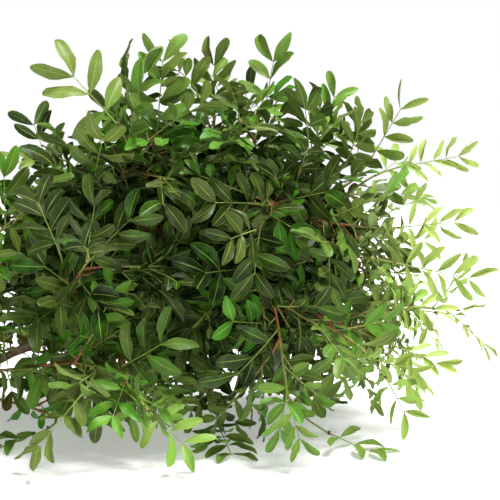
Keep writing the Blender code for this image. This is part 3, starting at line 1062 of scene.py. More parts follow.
@dataclass
class LeafRule:
    """How leaves sit on shoots, and how each finds its room."""

    shoots: list[Shoot]
    placed: list[Space]
    pitch: float = 0.0165
    every: int = 3
    most: int = 3
    first: float = 0.14
    fewest_places: int = 4
    pair_counts: tuple[int, ...] = (2, 3, 3, 3, 4)
    fewer_pair_counts: tuple[int, ...] = (2, 3)
    curl: Pair = (1.0, 9.0)
    twist: Pair = (-0.5, 0.5)
    spray_curl: Pair = (0.5, 3.0)
    spray_twist: Pair = (-0.3, 0.3)
    lying_curl: float = 0.5
    lying_shrink: float = 0.3
    opening: Pair = (62, 18)
    opening_spread: float = 10
    turn_spread: float = 0.3
    roll_spread: float = 0.25
    turn_wander: float = 2.6
    roll_wander: float = 1.1
    spray_swerve: float = 0.5
    spray_tilt: float = 0.5
    inner_side_share: float = 0.6
    size_spread: Pair = (0.88, 1.10)
    tip_shrink: float = 0.22
    towards_viewer: Triple = (0.0, -0.96, 0.28)
    tries: int = 40
    wide_after: int = 12
    fewer_pairs_after: int = 25
    last_try_shrink: float = 0.25
    clearance: float = 0.0011
    added_clearance: float = 0.0004
    free_stalk_share: float = 0.6
    deepest_press: float = 0.014
    flat_enough: float = 0.62
    added_tries: int = 22
    added_shrink: float = 0.42
    two_pairs_after: int = 8
    one_pair_after: int = 14
    twig_pitch: Pair = (0.0030, 0.0086)
    inner_count: int = 7
    inner_turn: float = 0.4
    inner_pairs: int = 3
    inner_reach: float = 0.74
    past_stalk: float = 0.7
    box: tuple[Vector, Vector] | None = None

    def shares(self, stem: Stem, pitch: float) -> list[float]:
        """The places of a shoot's leaves, as shares of its length, the last at its tip."""
        count = max(self.fewest_places, round(stem.length() * (1 - self.first) / pitch))
        return [self.first + (1 - self.first) * k / (count - 1) for k in range(count)]

    def turned_place(self, start: Vector, ahead: Vector, up: Vector) -> Matrix:
        """Places a leaf.

        Args:
            start: Where it grows.
            ahead: The way that its x axis runs.
            up: The way that its z axis is nearest to.

        Returns:
            The placement.
        """
        ahead = ahead.normalized()
        up = (up - ahead * up.dot(ahead)).normalized()
        place = Matrix((ahead, up.cross(ahead), up)).transposed().to_4x4()
        place.translation = start
        return place

    def spray_leaf(self, shoot: Shoot, draw: Random, attempt: int) -> Leaf:
        """Makes the last leaf of a spray, from the shoot's tip to its set end.

        Args:
            shoot: The spray.
            draw: Its random draws.
            attempt: How often it was tried before.

        Returns:
            The leaf.
        """
        start = shoot.stem.path[-1]
        reach = shoot.last_leaf_end - start
        pairs = shoot.last_leaf_pairs
        past_first = LEAF.pair_pitch_ratio * (pairs - 1) + cos(LEAF.last_pair_angle)
        leaflet = reach.length / (LEAF.stalk_ratio + past_first)
        wander = attempt / self.tries
        swerve = random_way(draw) * self.spray_swerve * wander
        if shoot.last_leaf_end.z < 0:
            place = self.turned_place(start, reach, UP)
            leaflet *= 1 - self.lying_shrink * wander
            return Leaf(place, pairs, leaflet, self.lying_curl, 0.0)
        up = Vector(self.towards_viewer) + random_way(draw) * (self.spray_tilt + wander)
        place = self.turned_place(start, reach.normalized() + swerve, up)
        curl, twist = draw.uniform(*self.spray_curl), draw.uniform(*self.spray_twist)
        return Leaf(place, pairs, leaflet, curl, twist)

    def rule_leaf(
        self, shoot: Shoot, share: float, order: float, draw: Random, attempt: int
    ) -> Leaf:
        """Makes a leaf at a share of a shoot.

        Args:
            shoot: The shoot.
            share: How far along it.
            order: The leaf's number on it, which turns it round the stem.
            draw: The random draws.
            attempt: How often it was tried before, which widens the draws.

        Returns:
            The leaf.
        """
        wander = min(1.0, attempt / self.wide_after)
        start, along, _ = shoot.stem.at(share)
        turn = order * GOLDEN_ANGLE
        turn += draw.uniform(-1, 1) * (self.turn_spread + self.turn_wander * wander)
        radial = Matrix.Rotation(turn, 3, along) @ along.orthogonal().normalized()
        opening = blend(*self.opening, share**3)
        opening += draw.uniform(-1, 1) * self.opening_spread * (1 + wander)
        outward, inward = sin(radians(opening)), cos(radians(opening))
        ahead = along * inward + radial * outward
        towards_stem = along * outward - radial * inward
        light = shoot.facing - ahead * shoot.facing.dot(ahead)
        roll = draw.uniform(-1, 1) * (self.roll_spread + self.roll_wander * wander)
        up = Matrix.Rotation(roll, 3, ahead) @ (towards_stem * self.inner_side_share + light)
        leaflet = LEAF.length * draw.uniform(*self.size_spread) * (1 - self.tip_shrink * share)
        leaflet *= 1 - self.last_try_shrink * attempt / self.tries
        leaflet *= shoot.vigour
        few = attempt >= self.fewer_pairs_after
        pairs = draw.choice(self.fewer_pair_counts if few else self.pair_counts)
        place = self.turned_place(start, ahead, up)
        curl, twist = draw.uniform(*self.curl), draw.uniform(*self.twist)
        return Leaf(place, pairs, leaflet, curl, twist)

    def has_room(self, leaf: Leaf, number: int, clearance: float) -> bool:
        """Tells whether a leaf keeps clear of what is placed, and can lie where it is low.

        Args:
            leaf: The leaf.
            number: The shoot that it grows on.
            clearance: The gap that it keeps.

        Returns:
            True if it has room.
        """
        points = leaf.shell(clearance)[0]
        lowest = min(point.z for point in points)
        if lowest < -self.deepest_press:
            return False
        if lowest < 0.0 and abs((leaf.place.to_3x3() @ UP).z) < self.flat_enough:
            return False
        if self.box:
            low, high = self.box
            if any(not low[k] < point[k] < high[k] for point in points for k in range(3)):
                return False
        room = Space.of_leaf(number, leaf, clearance)
        near = [space for space in self.placed if space.close_to(room)]
        if not near:
            return True
        free = leaf.leaflet * LEAF.stalk_ratio * self.free_stalk_share
        loose = Space.of_leaf(number, leaf, clearance, free)
        return not any((loose if s.owner == number else room).meets(s) for s in near)

    def settle(self, number: int, clearance: float, tries: int, make: Callable) -> list[Leaf]:
        """Tries a leaf until it has room.

        Args:
            number: The shoot that it grows on.
            clearance: The gap that it keeps.
            tries: How often it is tried.
            make: A function that makes the leaf for each attempt.

        Returns:
            The leaf in a list, or an empty list.
        """
        for attempt in range(tries):
            leaf = make(attempt)
            if self.has_room(leaf, number, clearance):
                self.placed.append(Space.of_leaf(number, leaf))
                return [leaf]
        return []

    def solid_leaves(self) -> list[list[Leaf]]:
        """Grows the leaves that the CAD solids carry.

        Returns:
            Each shoot's leaves.
        """
        draws = [Random(SEED * 1000 + k) for k in range(len(self.shoots))]
        leaves = [[] for _ in self.shoots]
        firm = (self.clearance, self.tries)
        for k, shoot in enumerate(self.shoots):
            if shoot.last_leaf_pairs:
                leaves[k] += self.settle(k, *firm, lambda n: self.spray_leaf(shoot, draws[k], n))
        for k, shoot in enumerate(self.shoots):
            shares = self.shares(shoot.stem, self.pitch)
            for order in range(len(shares) - 1, -1, -self.every)[: self.most]:
                if shares[order] == 1.0 and leaves[k]:
                    continue
                share = shares[order]
                leaves[k] += self.settle(
                    k, *firm, lambda n: self.rule_leaf(shoot, share, order, draws[k], n)
                )
        return leaves

    def grow_at(self, number: int, shoot: Shoot, slots: list[Pair], draw: Random) -> list[Leaf]:
        """Grows added leaves on a shoot.

        Args:
            number: The shoot's number.
            shoot: The shoot.
            slots: For each leaf, its order on the shoot and its share of the length.
            draw: The random draws.

        Returns:
            The leaves that found room.
        """
        grown = []
        for order, share in slots:
            grown += self.settle(
                number,
                self.added_clearance,
                self.added_tries,
                lambda n: self.added_leaf(shoot, share, order, draw, n),
            )
        return grown

    def added_leaf(
        self, shoot: Shoot, share: float, order: float, draw: Random, attempt: int
    ) -> Leaf:
        """Makes a leaf that the solids leave out, smaller and with fewer pairs each attempt.

        Args:
            shoot: The shoot.
            share: How far along it.
            order: The leaf's number on it.
            draw: The random draws.
            attempt: How often it was tried before.

        Returns:
            The leaf.
        """
        leaf = self.rule_leaf(shoot, share, order, draw, attempt)
        leaf.leaflet *= 1 - self.added_shrink * attempt / self.added_tries
        if attempt >= self.two_pairs_after:
            leaf.pairs = 2
        if attempt >= self.one_pair_after:
            leaf.pairs = 1
        return leaf

    def inner_leaves(self, shoot: Shoot, crown: Crown, draw: Random) -> list[Leaf]:
        """Makes leaves that close the crown's dark inside, pushed together with what is there.

        Args:
            shoot: The twig that they grow on.
            crown: The crown.
            draw: The random draws.

        Returns:
            The leaves that end inside the crown.
        """
        grown = []
        for k in range(self.inner_count):
            share = (k + 1) / self.inner_count
            leaf = self.rule_leaf(shoot, share, k + self.inner_turn, draw, 0)
            leaf.pairs = max(self.inner_pairs, leaf.pairs)
            end = leaf.bend(Vector((leaf.stalk() + leaf.leaflet * self.past_stalk, 0.0, 0.0)))
            above = min(point.z for point in leaf.shell(0.0)[0]) > 0.0
            if above and crown.outness(end) < self.inner_reach:
                grown.append(leaf)
        return grown

    def bare_slots(self, stem: Stem) -> list[Pair]:
        """Lists the places that the solids leave bare, from the tip down.

        Args:
            stem: The shoot's stem.

        Returns:
            Each place's number and its share of the length.
        """
        shares = self.shares(stem, self.pitch)
        kept = set(range(len(shares) - 1, -1, -self.every)[: self.most])
        return [(k, shares[k]) for k in range(len(shares) - 1, -1, -1) if k not in kept]

    def between_slots(self, stem: Stem) -> list[Pair]:
        """Lists the places half-way between a shoot's others, from the tip down.

        Args:
            stem: The shoot's stem.

        Returns:
            Each place's number and its share of the length.
        """
        shares = self.shares(stem, self.pitch)
        return [
            (k + 0.5, (shares[k] + shares[k + 1]) / 2) for k in range(len(shares) - 2, -1, -1)
        ]

    def twig_slots(self, stem: Stem, out: float) -> list[Pair]:
        """The places of a twig's leaves, from the tip down, closer together inside the crown."""
        shares = self.shares(stem, blend(*self.twig_pitch, min(1.0, out)))
        return [(k, shares[k]) for k in range(len(shares) - 1, -1, -1)]


# The finishes


def new_material(name: str) -> tuple[Material, Callable, NodeSocket]:
    """Makes an empty material.

    Args:
        name: Its name.

    Returns:
        The material, a function that adds nodes to it, and its Object coordinates.
    """
    material = bpy.data.materials.new(name)
    material.use_nodes = True
    add = partial(add_node, material.node_tree)
    return material, add, add("ShaderNodeTexCoord", output="Object")


def dressed(
    material: Material,
    base: str,
    layers: tuple,
    rough: NodeSocket,
    height: NodeSocket,
    depth_mm: float,
) -> Material:
    """Gives a material's shader its colour, its roughness and its relief.

    Args:
        material: The material.
        base: The base colour.
        layers: The share and the colour of each layer that lies over it.
        rough: The roughness.
        height: The relief, from about 0 to 1.
        depth_mm: How deep the relief goes.

    Returns:
        The material.
    """
    tree = material.node_tree
    colour = linear(base)
    for share, layer in layers:
        colour = add_node(tree, MIX, {0: share, 6: colour, 7: linear(layer)}, 2, **COLOUR)
    relief = {"Height": height, "Strength": RELIEF_STRENGTH, "Distance": depth_mm / 1000}
    bump = add_node(tree, "ShaderNodeBump", relief)
    shader = tree.nodes["Principled BSDF"]
    for name, source in (("Base Color", colour), ("Roughness", rough), ("Normal", bump)):
        tree.links.new(source, shader.inputs[name])
    return material


@dataclass(frozen=True)
class LeafSide:
    """One side of a living lentisk leaflet, leathery under a thin wax.

    The wax gives the upper side a satin gloss with soft highlights. The under side has none: it
    is matte, paler and greyer. The midrib shows as a pale line, in a groove above and raised
    below, the side veins as faint lines and the margin as a thin pale rim. Leaflets inside the
    branch are painted deeper and less yellow-green as painted shade, young ones yellow-green,
    and a few are olive or have dried brown.
    """

    name: str = "lentisk_leaf_upper_side"
    deep_and_shaded: str = "#0b1f04"
    full: str = "#459117"
    olive: str = "#3c4b13"
    young: str = "#b5cb68"
    dry: str = "#5f4a26"
    midrib: str = "#a3bb52"
    speck: str = "#3c2d17"
    roughness: float = 0.36
    roughness_spread: float = 0.11
    refraction: float = 1.42
    gloss: float = 0.25
    raised: bool = False
    rib_width: Pair = (0.065, 0.02)
    rib_edge: float = 1.8
    rib_share: float = 0.65
    margin_from: float = 0.86
    margin_share: float = 0.22
    vein_pairs: float = 9.0
    vein_slant: float = 1.9
    vein_shift: float = 0.4
    vein_share: float = 0.08
    speckless: float = 0.86
    drift_mm: float = 55.0
    patch_mm: float = 9.0
    grain_mm: float = 0.5
    speck_mm: float = 5.0

    def build(self) -> Material:
        """Makes the material.

        Returns:
            The material.
        """
        material, add, place = new_material(self.name)
        spot = add("ShaderNodeUVMap", uv_map="UVMap")
        spot = add("ShaderNodeSeparateXYZ", (spot,)).node.outputs
        tone, youth, warmth = (
            add("ShaderNodeAttribute", output="Fac", attribute_name=name)
            for name in ("tone", "youth", "age")
        )
        along = spot["Y"]
        off_middle = add(MATH, (spot["X"], 0.5), operation="SUBTRACT")
        across = add(MATH, (off_middle,), operation="ABSOLUTE")
        across = add(MATH, (across, 2.0), **TIMES)
        rib_width = add(RANGE, (along, 0.0, 1.0, *self.rib_width))
        rib_edge = add(MATH, (rib_width, self.rib_edge), **TIMES)
        rib = add(RANGE, (across, rib_width, rib_edge, 1.0, 0.0), **SMOOTH)
        margin = (across, self.margin_from, 1.0, 0.0, self.margin_share)
        margin = add(RANGE, margin, **SMOOTH)

        # The side veins leave the midrib forwards, those of one half a little after the other's
        half_step = add(MATH, (off_middle, 0.0), operation="GREATER_THAN")
        half_step = add(MATH, (half_step, self.vein_shift), **TIMES)
        run = add(MATH, (along, self.vein_pairs, half_step), **TIMES_PLUS)
        run = add(MATH, (across, -self.vein_slant, run), **TIMES_PLUS)
        run = add(MATH, (run,), operation="FRACT")
        run = add(MATH, (run, 0.5), operation="SUBTRACT")
        run = add(MATH, (run,), operation="ABSOLUTE")
        vein = add(RANGE, (run, 0.03, 0.14, 1.0, 0.0), **SMOOTH)
        inner = add(RANGE, (across, 0.55, 0.95, 1.0, 0.0), **SMOOTH)
        vein = add(MATH, (vein, inner), **TIMES)

        drift, patch, grain = (
            add(NOISE, {"Vector": place, "Scale": 1000 / size, "Detail": 1.5})
            for size in (self.drift_mm, self.patch_mm, self.grain_mm)
        )
        cell = add(VORONOI, {"Vector": place, "Scale": 1000 / self.speck_mm})
        chance = add("ShaderNodeSeparateXYZ", (cell.node.outputs["Color"],))
        chance = add(MATH, (chance, self.speckless), operation="GREATER_THAN")
        speck = add(RANGE, (cell, 0.04, 0.11, 0.8, 0.0), **SMOOTH)
        speck = add(MATH, (speck, chance), **TIMES)

        blotch = add(RANGE, (patch, 0.0, 1.0, -0.45, 0.45))
        # Painted shade: the tone is low inside the crown, so those leaflets stay near the deep
        # green
        green = add(MATH, (tone, blotch), **PLUS, use_clamp=True)
        aged = add(MATH, (warmth, drift), **PLUS)
        layers = (
            (green, self.full),
            (add(RANGE, (aged, 1.2, 1.55, 0.0, 0.8), **SMOOTH), self.olive),
            (youth, self.young),
            (add(RANGE, (warmth, 0.99, 1.0, 0.0, 0.9), **SMOOTH), self.dry),
            (add(MATH, (vein, self.vein_share), **TIMES), self.midrib),
            (margin, self.midrib),
            (add(MATH, (rib, self.rib_share), **TIMES), self.midrib),
            (speck, self.speck),
        )
        uneven = self.roughness_spread
        rough = (patch, 0.0, 1.0, self.roughness - uneven, self.roughness + uneven)
        rough = add(RANGE, rough)
        relief = add(MATH, (vein, 0.45, rib), **TIMES_PLUS)
        sign = 1.0 if self.raised else -1.0
        relief = add(MATH, (relief, sign), **TIMES)
        relief = add(MATH, (grain, 0.35, relief), **TIMES_PLUS)
        shader = material.node_tree.nodes["Principled BSDF"]
        shader.inputs["IOR"].default_value = self.refraction
        shader.inputs["Specular IOR Level"].default_value = self.gloss
        return dressed(material, self.deep_and_shaded, layers, rough, relief, 0.2)


LEAF_UPPER = LeafSide()
LEAF_UNDER = LeafSide(
    name="lentisk_leaf_under_side",
    deep_and_shaded="#1a2f0c",
    full="#4a7324",
    olive="#4f5527",
    young="#a9bd60",
    dry="#7d6140",
    midrib="#b7c47c",
    speck="#5b4a2c",
    roughness=0.62,
    raised=True,
)


@dataclass(frozen=True)
class YoungStem:
    """The skin of young stems and leaf stalks, smooth and not yet bark.

    It is yellow-green in the light, turns red-brown with age, and has small pale pores.
    """

    name: str = "young_stem_skin"
    green: str = "#8fa04a"
    red: str = "#8f4d2b"
    brown: str = "#5f4029"
    pore: str = "#b59a6e"
    streak_mm: float = 3.0
    pore_mm: float = 2.2

    def build(self) -> Material:
        """Makes the material.

        Returns:
            The material.
        """
        material, add, place = new_material(self.name)
        age = add("ShaderNodeAttribute", output="Fac", attribute_name="age")
        streak = add(NOISE, {"Vector": place, "Scale": 1000 / self.streak_mm, "Detail": 3.0})
        drift = add(RANGE, (streak, 0.0, 1.0, -0.3, 0.3))
        aged = add(MATH, (age, drift), **PLUS)
        cell = add(VORONOI, {"Vector": place, "Scale": 1000 / self.pore_mm})
        pore = add(RANGE, (cell, 0.08, 0.2, 1.0, 0.0), **SMOOTH)
        grown = add(RANGE, (aged, 0.3, 0.6, 0.0, 0.7), **SMOOTH)
        pore = add(MATH, (pore, grown), **TIMES)
        layers = (
            (add(RANGE, (aged, 0.15, 0.6, 0.0, 1.0), **SMOOTH), self.red),
            (add(RANGE, (aged, 0.75, 1.1, 0.0, 1.0), **SMOOTH), self.brown),
            (pore, self.pore),
        )
        rough = add(RANGE, (streak, 0.3, 0.7, 0.42, 0.60), **SMOOTH)
        height = add(MATH, (streak, 0.6, pore), **TIMES_PLUS)
        return dressed(material, self.green, layers, rough, height, 0.2)


@dataclass(frozen=True)
class BudScale:
    """The dry scales of a bud, dark red-brown with paler edges."""

    name: str = "bud_scale"
    dark: str = "#3b2213"
    pale: str = "#7c4d2c"
    grain_mm: float = 0.6

    def build(self) -> Material:
        """Makes the material.

        Returns:
            The material.
        """
        material, add, place = new_material(self.name)
        grain = add(NOISE, {"Vector": place, "Scale": 1000 / self.grain_mm, "Detail": 2.0})
        layers = ((add(RANGE, (grain, 0.35, 0.65, 0.0, 1.0), **SMOOTH), self.pale),)
        rough = add(RANGE, (grain, 0.3, 0.7, 0.5, 0.7), **SMOOTH)
        return dressed(material, self.dark, layers, rough, grain, 0.2)


@dataclass(frozen=True)
class OldBark:
    """The bark of two- and three-year wood, thin, dull and grey-brown over red.

    It splits into fine fissures along the stem and has corky pores.
    """

    name: str = "lentisk_bark"
    brown: str = "#6b4a31"
    grey: str = "#8a7660"
    crack: str = "#33231a"
    pore: str = "#a98c69"
    patch_mm: float = 14.0
    crack_mm: float = 1.6
    crack_stretch: float = 0.16
    pore_mm: float = 4.0

    def build(self) -> Material:
        """Makes the material.

        Returns:
            The material.
        """
        material, add, place = new_material(self.name)
        patch = add(NOISE, {"Vector": place, "Scale": 1000 / self.patch_mm, "Detail": 4.0})
        # The trunk runs mostly along X, so the cracks are drawn out that way
        stretch = (self.crack_stretch, 1.0, 1.0)
        drawn = add("ShaderNodeMapping", {"Vector": place, "Scale": stretch})
        crack = add(NOISE, {"Vector": drawn, "Scale": 1000 / self.crack_mm, "Detail": 2.0})
        cell = add(VORONOI, {"Vector": place, "Scale": 1000 / self.pore_mm})
        pore = add(RANGE, (cell, 0.10, 0.18, 0.7, 0.0), **SMOOTH)
        layers = (
            (add(RANGE, (patch, 0.4, 0.62, 0.0, 1.0), **SMOOTH), self.grey),
            (add(RANGE, (crack, 0.36, 0.46, 0.8, 0.0), **SMOOTH), self.crack),
            (pore, self.pore),
        )
        rough = add(RANGE, (crack, 0.3, 0.7, 0.88, 0.70), **SMOOTH)
        height = add(MATH, (pore, 0.7, crack), **TIMES_PLUS)
        return dressed(material, self.brown, layers, rough, height, 0.6)


@dataclass(frozen=True)
class CutWood:
    """Fresh lentisk wood across the grain: pale, with fine rings round a darker pith."""

    name: str = "cut_wood"
    wood: str = "#d2b988"
    ring: str = "#a9854f"
    pith: str = "#7d5a36"
    ring_mm: float = 0.7

    def build(self, centre: Vector) -> Material:
        """Makes the material.

        Args:
            centre: The middle of the rings.

        Returns:
            The material.
        """
        material, add, place = new_material(self.name)
        place = add("ShaderNodeMapping", {"Vector": place, "Location": -centre})
        scale = 1000 / self.ring_mm / RINGS_AT_SCALE_1
        rings = {"Vector": place, "Scale": scale, "Distortion": 0.6}
        settings = {"wave_type": "RINGS", "rings_direction": "SPHERICAL"}
        wave = add("ShaderNodeTexWave", rings, "Fac", **settings)
        away = add("ShaderNodeVectorMath", (place,), "Value", operation="LENGTH")
        layers = (
            (add(RANGE, (wave, 0.6, 1.0, 0.0, 0.7), **SMOOTH), self.ring),
            (add(RANGE, (away, 0.0004, 0.0007, 1.0, 0.0), **SMOOTH), self.pith),
        )
        rough = add(RANGE, (wave, 0.0, 1.0, 0.75, 0.88))
        return dressed(material, self.wood, layers, rough, wave, 0.1)


# The leaflets and buds that Geometry Nodes repeat


@dataclass(frozen=True)
class LeafletShape:
    """One leaflet of length 1 and half width 1, with its fold, arch, twist and wave.

    Heights are shares of the length. Across, a leaflet has the rim, half a blade, the midrib,
    half a blade and the rim on its upper side, and the rims and midrib under it.
    """

    outline: Outline
    fold: float
    arch: float
    twist: float
    wave: float
    phase: float = 0.0
    swell: float = 0.012
    thickness: float = 0.010
    waves: float = 1.6
    wave_growth: float = 4.0
    twist_from: float = 0.4

    def lift(self, along: float, off: float) -> Pair:
        """Bends a point of the blade.

        Args:
            along: How far along the leaflet.
            off: How far to the left, as a share of the length.

        Returns:
            Its sideways place and its height.
        """
        height = self.fold * abs(off) + self.arch * 4 * along * (1 - along)
        ripple = sin(2 * pi * (self.waves * along + self.phase))
        height += self.wave * ripple * abs(off) * self.wave_growth
        turn = self.twist * (along - self.twist_from)
        return off * cos(turn), height + off * sin(turn)

    def mesh(self, name: str, half_width: float, over: Pair) -> Mesh:
        """Makes the leaflet, closed, with its veins' map, its finishes and its sharp rim.

        Args:
            name: The mesh's name.
            half_width: Half the width, as a share of the length, that the shape is drawn at.
            over: How high over the surface an upper and a rim point stay when it lies.

        Returns:
            The mesh.
        """
        shape = bmesh.new()
        uv = shape.loops.layers.uv.new("UVMap")
        finish = shape.faces.layers.int.new("finish")
        height = shape.verts.layers.float.new("over")

        def add(
            along: float, side: float, wide: float, drop: float, high: float
        ) -> bmesh.types.BMVert:
            """Adds a vertex at a share of the blade's half width, with its height when it lies."""
            off, up = self.lift(along, side * wide * half_width)
            if 0 < abs(side) < 1:
                up += self.swell * wide
            vertex = shape.verts.new((along, off, up - drop))
            vertex[height] = high
            spots[vertex] = (0.5 + side / 2, along)
            return vertex

        spots = {}
        base = add(0.0, 0.0, 0.0, 0.0, over[1])
        tip = add(1.0, 0.0, 0.0, 0.0, over[1])
        rows = []
        for along, wide in self.outline.value:
            rims = [add(along, side, wide, 0.0, over[1]) for side in (1.0, -1.0)]
            inner = [add(along, side, wide, 0.0, over[0]) for side in (0.5, 0.0, -0.5)]
            keel = add(along, 0.0, wide, self.thickness * (0.5 + wide), 0.0)
            rows.append(([rims[0], *inner, rims[1]], [rims[1], keel, rims[0]]))

        for layer, code in ((0, Finish.LEAF_UPPER), (1, Finish.LEAF_UNDER)):
            strips = [row[layer] for row in rows]
            corners = []
            for k in range(len(strips[0]) - 1):
                corners.append((base, strips[0][k + 1], strips[0][k]))
                corners.append((strips[-1][k], strips[-1][k + 1], tip))
            for near, far in zip(strips, strips[1:]):
                for k in range(len(near) - 1):
                    corners.append((near[k], near[k + 1], far[k + 1], far[k]))
            for ring in corners:
                face = shape.faces.new(ring)
                face[finish] = code
                face.smooth = True
        bmesh.ops.recalc_face_normals(shape, faces=shape.faces)
        for face in shape.faces:
            for loop in face.loops:
                loop[uv].uv = spots[loop.vert]
        for edge in shape.edges:
            codes = {face[finish] for face in edge.link_faces}
            edge.smooth = len(codes) == 1
        return finished(shape, name)


@dataclass(frozen=True)
class BudShape:
    """A bud of length 1: an egg of three rows of overlapping scales."""

    rings: tuple = (
        ((0.0, 0.30), (0.18, 0.46), (0.34, 0.50), (0.36, 0.44))
        + ((0.62, 0.40), (0.64, 0.33), (0.86, 0.16))
    )
    sides: int = 6

    def mesh(self, name: str) -> Mesh:
        """Makes the bud, closed.

        Args:
            name: The mesh's name.

        Returns:
            The mesh.
        """
        shape = bmesh.new()
        finish = shape.faces.layers.int.new("finish")
        rows = []
        for k, (along, radius) in enumerate(self.rings):
            row = []
            for side in range(self.sides):
                turn = 2 * pi * (side + 0.5 * (k // 3)) / self.sides
                across = (radius * cos(turn), radius * sin(turn))
                row.append(shape.verts.new((along, *across)))
            rows.append(row)
        tip = shape.verts.new((1.0, 0.0, 0.0))
        shape.faces.new(rows[0])
        for near, far in zip(rows, rows[1:]):
            for k in range(self.sides):
                after = (k + 1) % self.sides
                shape.faces.new((near[k], near[after], far[after], far[k]))
        for k in range(self.sides):
            shape.faces.new((rows[-1][k], rows[-1][(k + 1) % self.sides], tip))
        bmesh.ops.recalc_face_normals(shape, faces=shape.faces)
        for face in shape.faces:
            face[finish] = Finish.BUD_SCALE
            face.smooth = True
        return finished(shape, name)


MARKS = {
    "part": ("INT", "value", 0),
    "shape": ("INT", "value", 0),
    "thickness": ("FLOAT", "value", 0.0),
    "tone": ("FLOAT", "value", 0.0),
    "youth": ("FLOAT", "value", 0.0),
    "age": ("FLOAT", "value", 0.0),
    "size": ("FLOAT_VECTOR", "vector", (1.0, 1.0, 1.0)),
    "turn": ("QUATERNION", "value", (1.0, 0.0, 0.0, 0.0)),
}


@dataclass
class Skeleton:
    """The points and chains that a Geometry Nodes tree turns to leaflets, stems and buds.

    Each point has marks: which part it stands for and which leaflet shape it takes, a stem's
    radius, a leaf's green tone with its painted shade, how young it is with its painted shade, how
    woody it is or how far its green has turned, and a leaflet's or bud's size and turn.
    """

    points: list[Vector] = field(default_factory=list)
    edges: list[tuple[int, int]] = field(default_factory=list)
    marks: dict[str, list] = field(default_factory=lambda: {name: [] for name in MARKS})

    def add(self, part: Part, place: Vector, **marks: object) -> None:
        """Adds a point.

        Args:
            part: What it stands for.
            place: Where it is.
            marks: Its other marks, where they differ from the usual ones.
        """
        self.points.append(place)
        marks["part"] = int(part)
        for name, (_, _, usual) in MARKS.items():
            self.marks[name].append(marks.get(name, usual))

    def chain(self, path: list[Vector], radii: list[float], ages: list[float]) -> None:
        """Adds a stem.

        Args:
            path: Its centre line.
            radii: Its radius at each point.
            ages: How woody it is at each point.
        """
        first = len(self.points)
        for place, radius, age in zip(path, radii, ages):
            self.add(Part.STEM, place, thickness=radius, age=age)
        self.edges += [(first + k, first + k + 1) for k in range(len(path) - 1)]

    def object(self, name: str, shift: Vector) -> Object:
        """Makes the object that carries the points.

        Args:
            name: Its name.
            shift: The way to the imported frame.

        Returns:
            The object, linked to the scene.
        """
        mesh = bpy.data.meshes.new(name)
        mesh.from_pydata([place + shift for place in self.points], self.edges, [])
        for key, (kind, slot, usual) in MARKS.items():
            values = self.marks[key]
            if isinstance(usual, tuple):
                values = [number for value in values for number in value]
            mesh.attributes.new(key, kind, "POINT").data.foreach_set(slot, values)
        return linked(name, mesh)


def new_group(name: str, inputs: dict[str, tuple]) -> tuple[NodeTree, dict, dict]:
    """Starts a Geometry Nodes tree with named inputs.

    Args:
        name: The tree's name.
        inputs: For each input's name, its socket type and its value.

    Returns:
        The tree, its input sockets by name, and the identifiers with their values.
    """
    tree = bpy.data.node_groups.new(name, "GeometryNodeTree")
    tree.interface.new_socket("Geometry", in_out="INPUT", socket_type="NodeSocketGeometry")
    tree.interface.new_socket("Geometry", in_out="OUTPUT", socket_type="NodeSocketGeometry")
    values = {}
    for label, (kind, value) in inputs.items():
        socket = tree.interface.new_socket(label, in_out="INPUT", socket_type=kind)
        values[socket.identifier] = value
    entry = add_node(tree, "NodeGroupInput").node
    return tree, {socket.name: socket for socket in entry.outputs}, values


def made_plain(carrier: Object, tree: NodeTree, values: dict, name: str) -> Object:
    """Runs a Geometry Nodes tree on an object, and turns the result to a plain mesh.

    Args:
        carrier: The object, which is removed afterwards.
        tree: The tree.
        values: The modifier's inputs by identifier.
        name: The finished piece's name.

    Returns:
        The piece, linked to the scene.
    """
    modifier = carrier.modifiers.new("grow", "NODES")
    modifier.node_group = tree
    for identifier, value in values.items():
        modifier[identifier] = value
    mesh = plain_mesh(carrier)
    mesh.name = name
    return linked(name, mesh)


def add_tubes(add: Callable, lines: NodeSocket, sides: NodeSocket) -> NodeSocket:
    """Turns a skeleton's chains to closed tubes as thick as their marks say.

    Args:
        add: The function that adds nodes to the tree.
        lines: The skeleton.
        sides: How many sides a tube has.

    Returns:
        The tubes' socket.
    """
    thickness = add(ATTRIBUTE, {"Name": "thickness"}, "Attribute", data_type="FLOAT")
    line = add("GeometryNodeMeshToCurve", (lines,))
    ring = add("GeometryNodeCurvePrimitiveCircle", {"Resolution": sides, "Radius": 1.0})
    tubes = {"Curve": line, "Profile Curve": ring, "Scale": thickness, "Fill Caps": True}
    return add("GeometryNodeCurveToMesh", tubes)


# The sub-assemblies


@dataclass
class Growth:
    """What one piece shows: its shoots with their leaves, and the CAD node that it replaces."""

    name: str
    node: str | None
    shoots: list[Shoot]
    leaves: list[list[Leaf]]
    young_foot: list[bool]


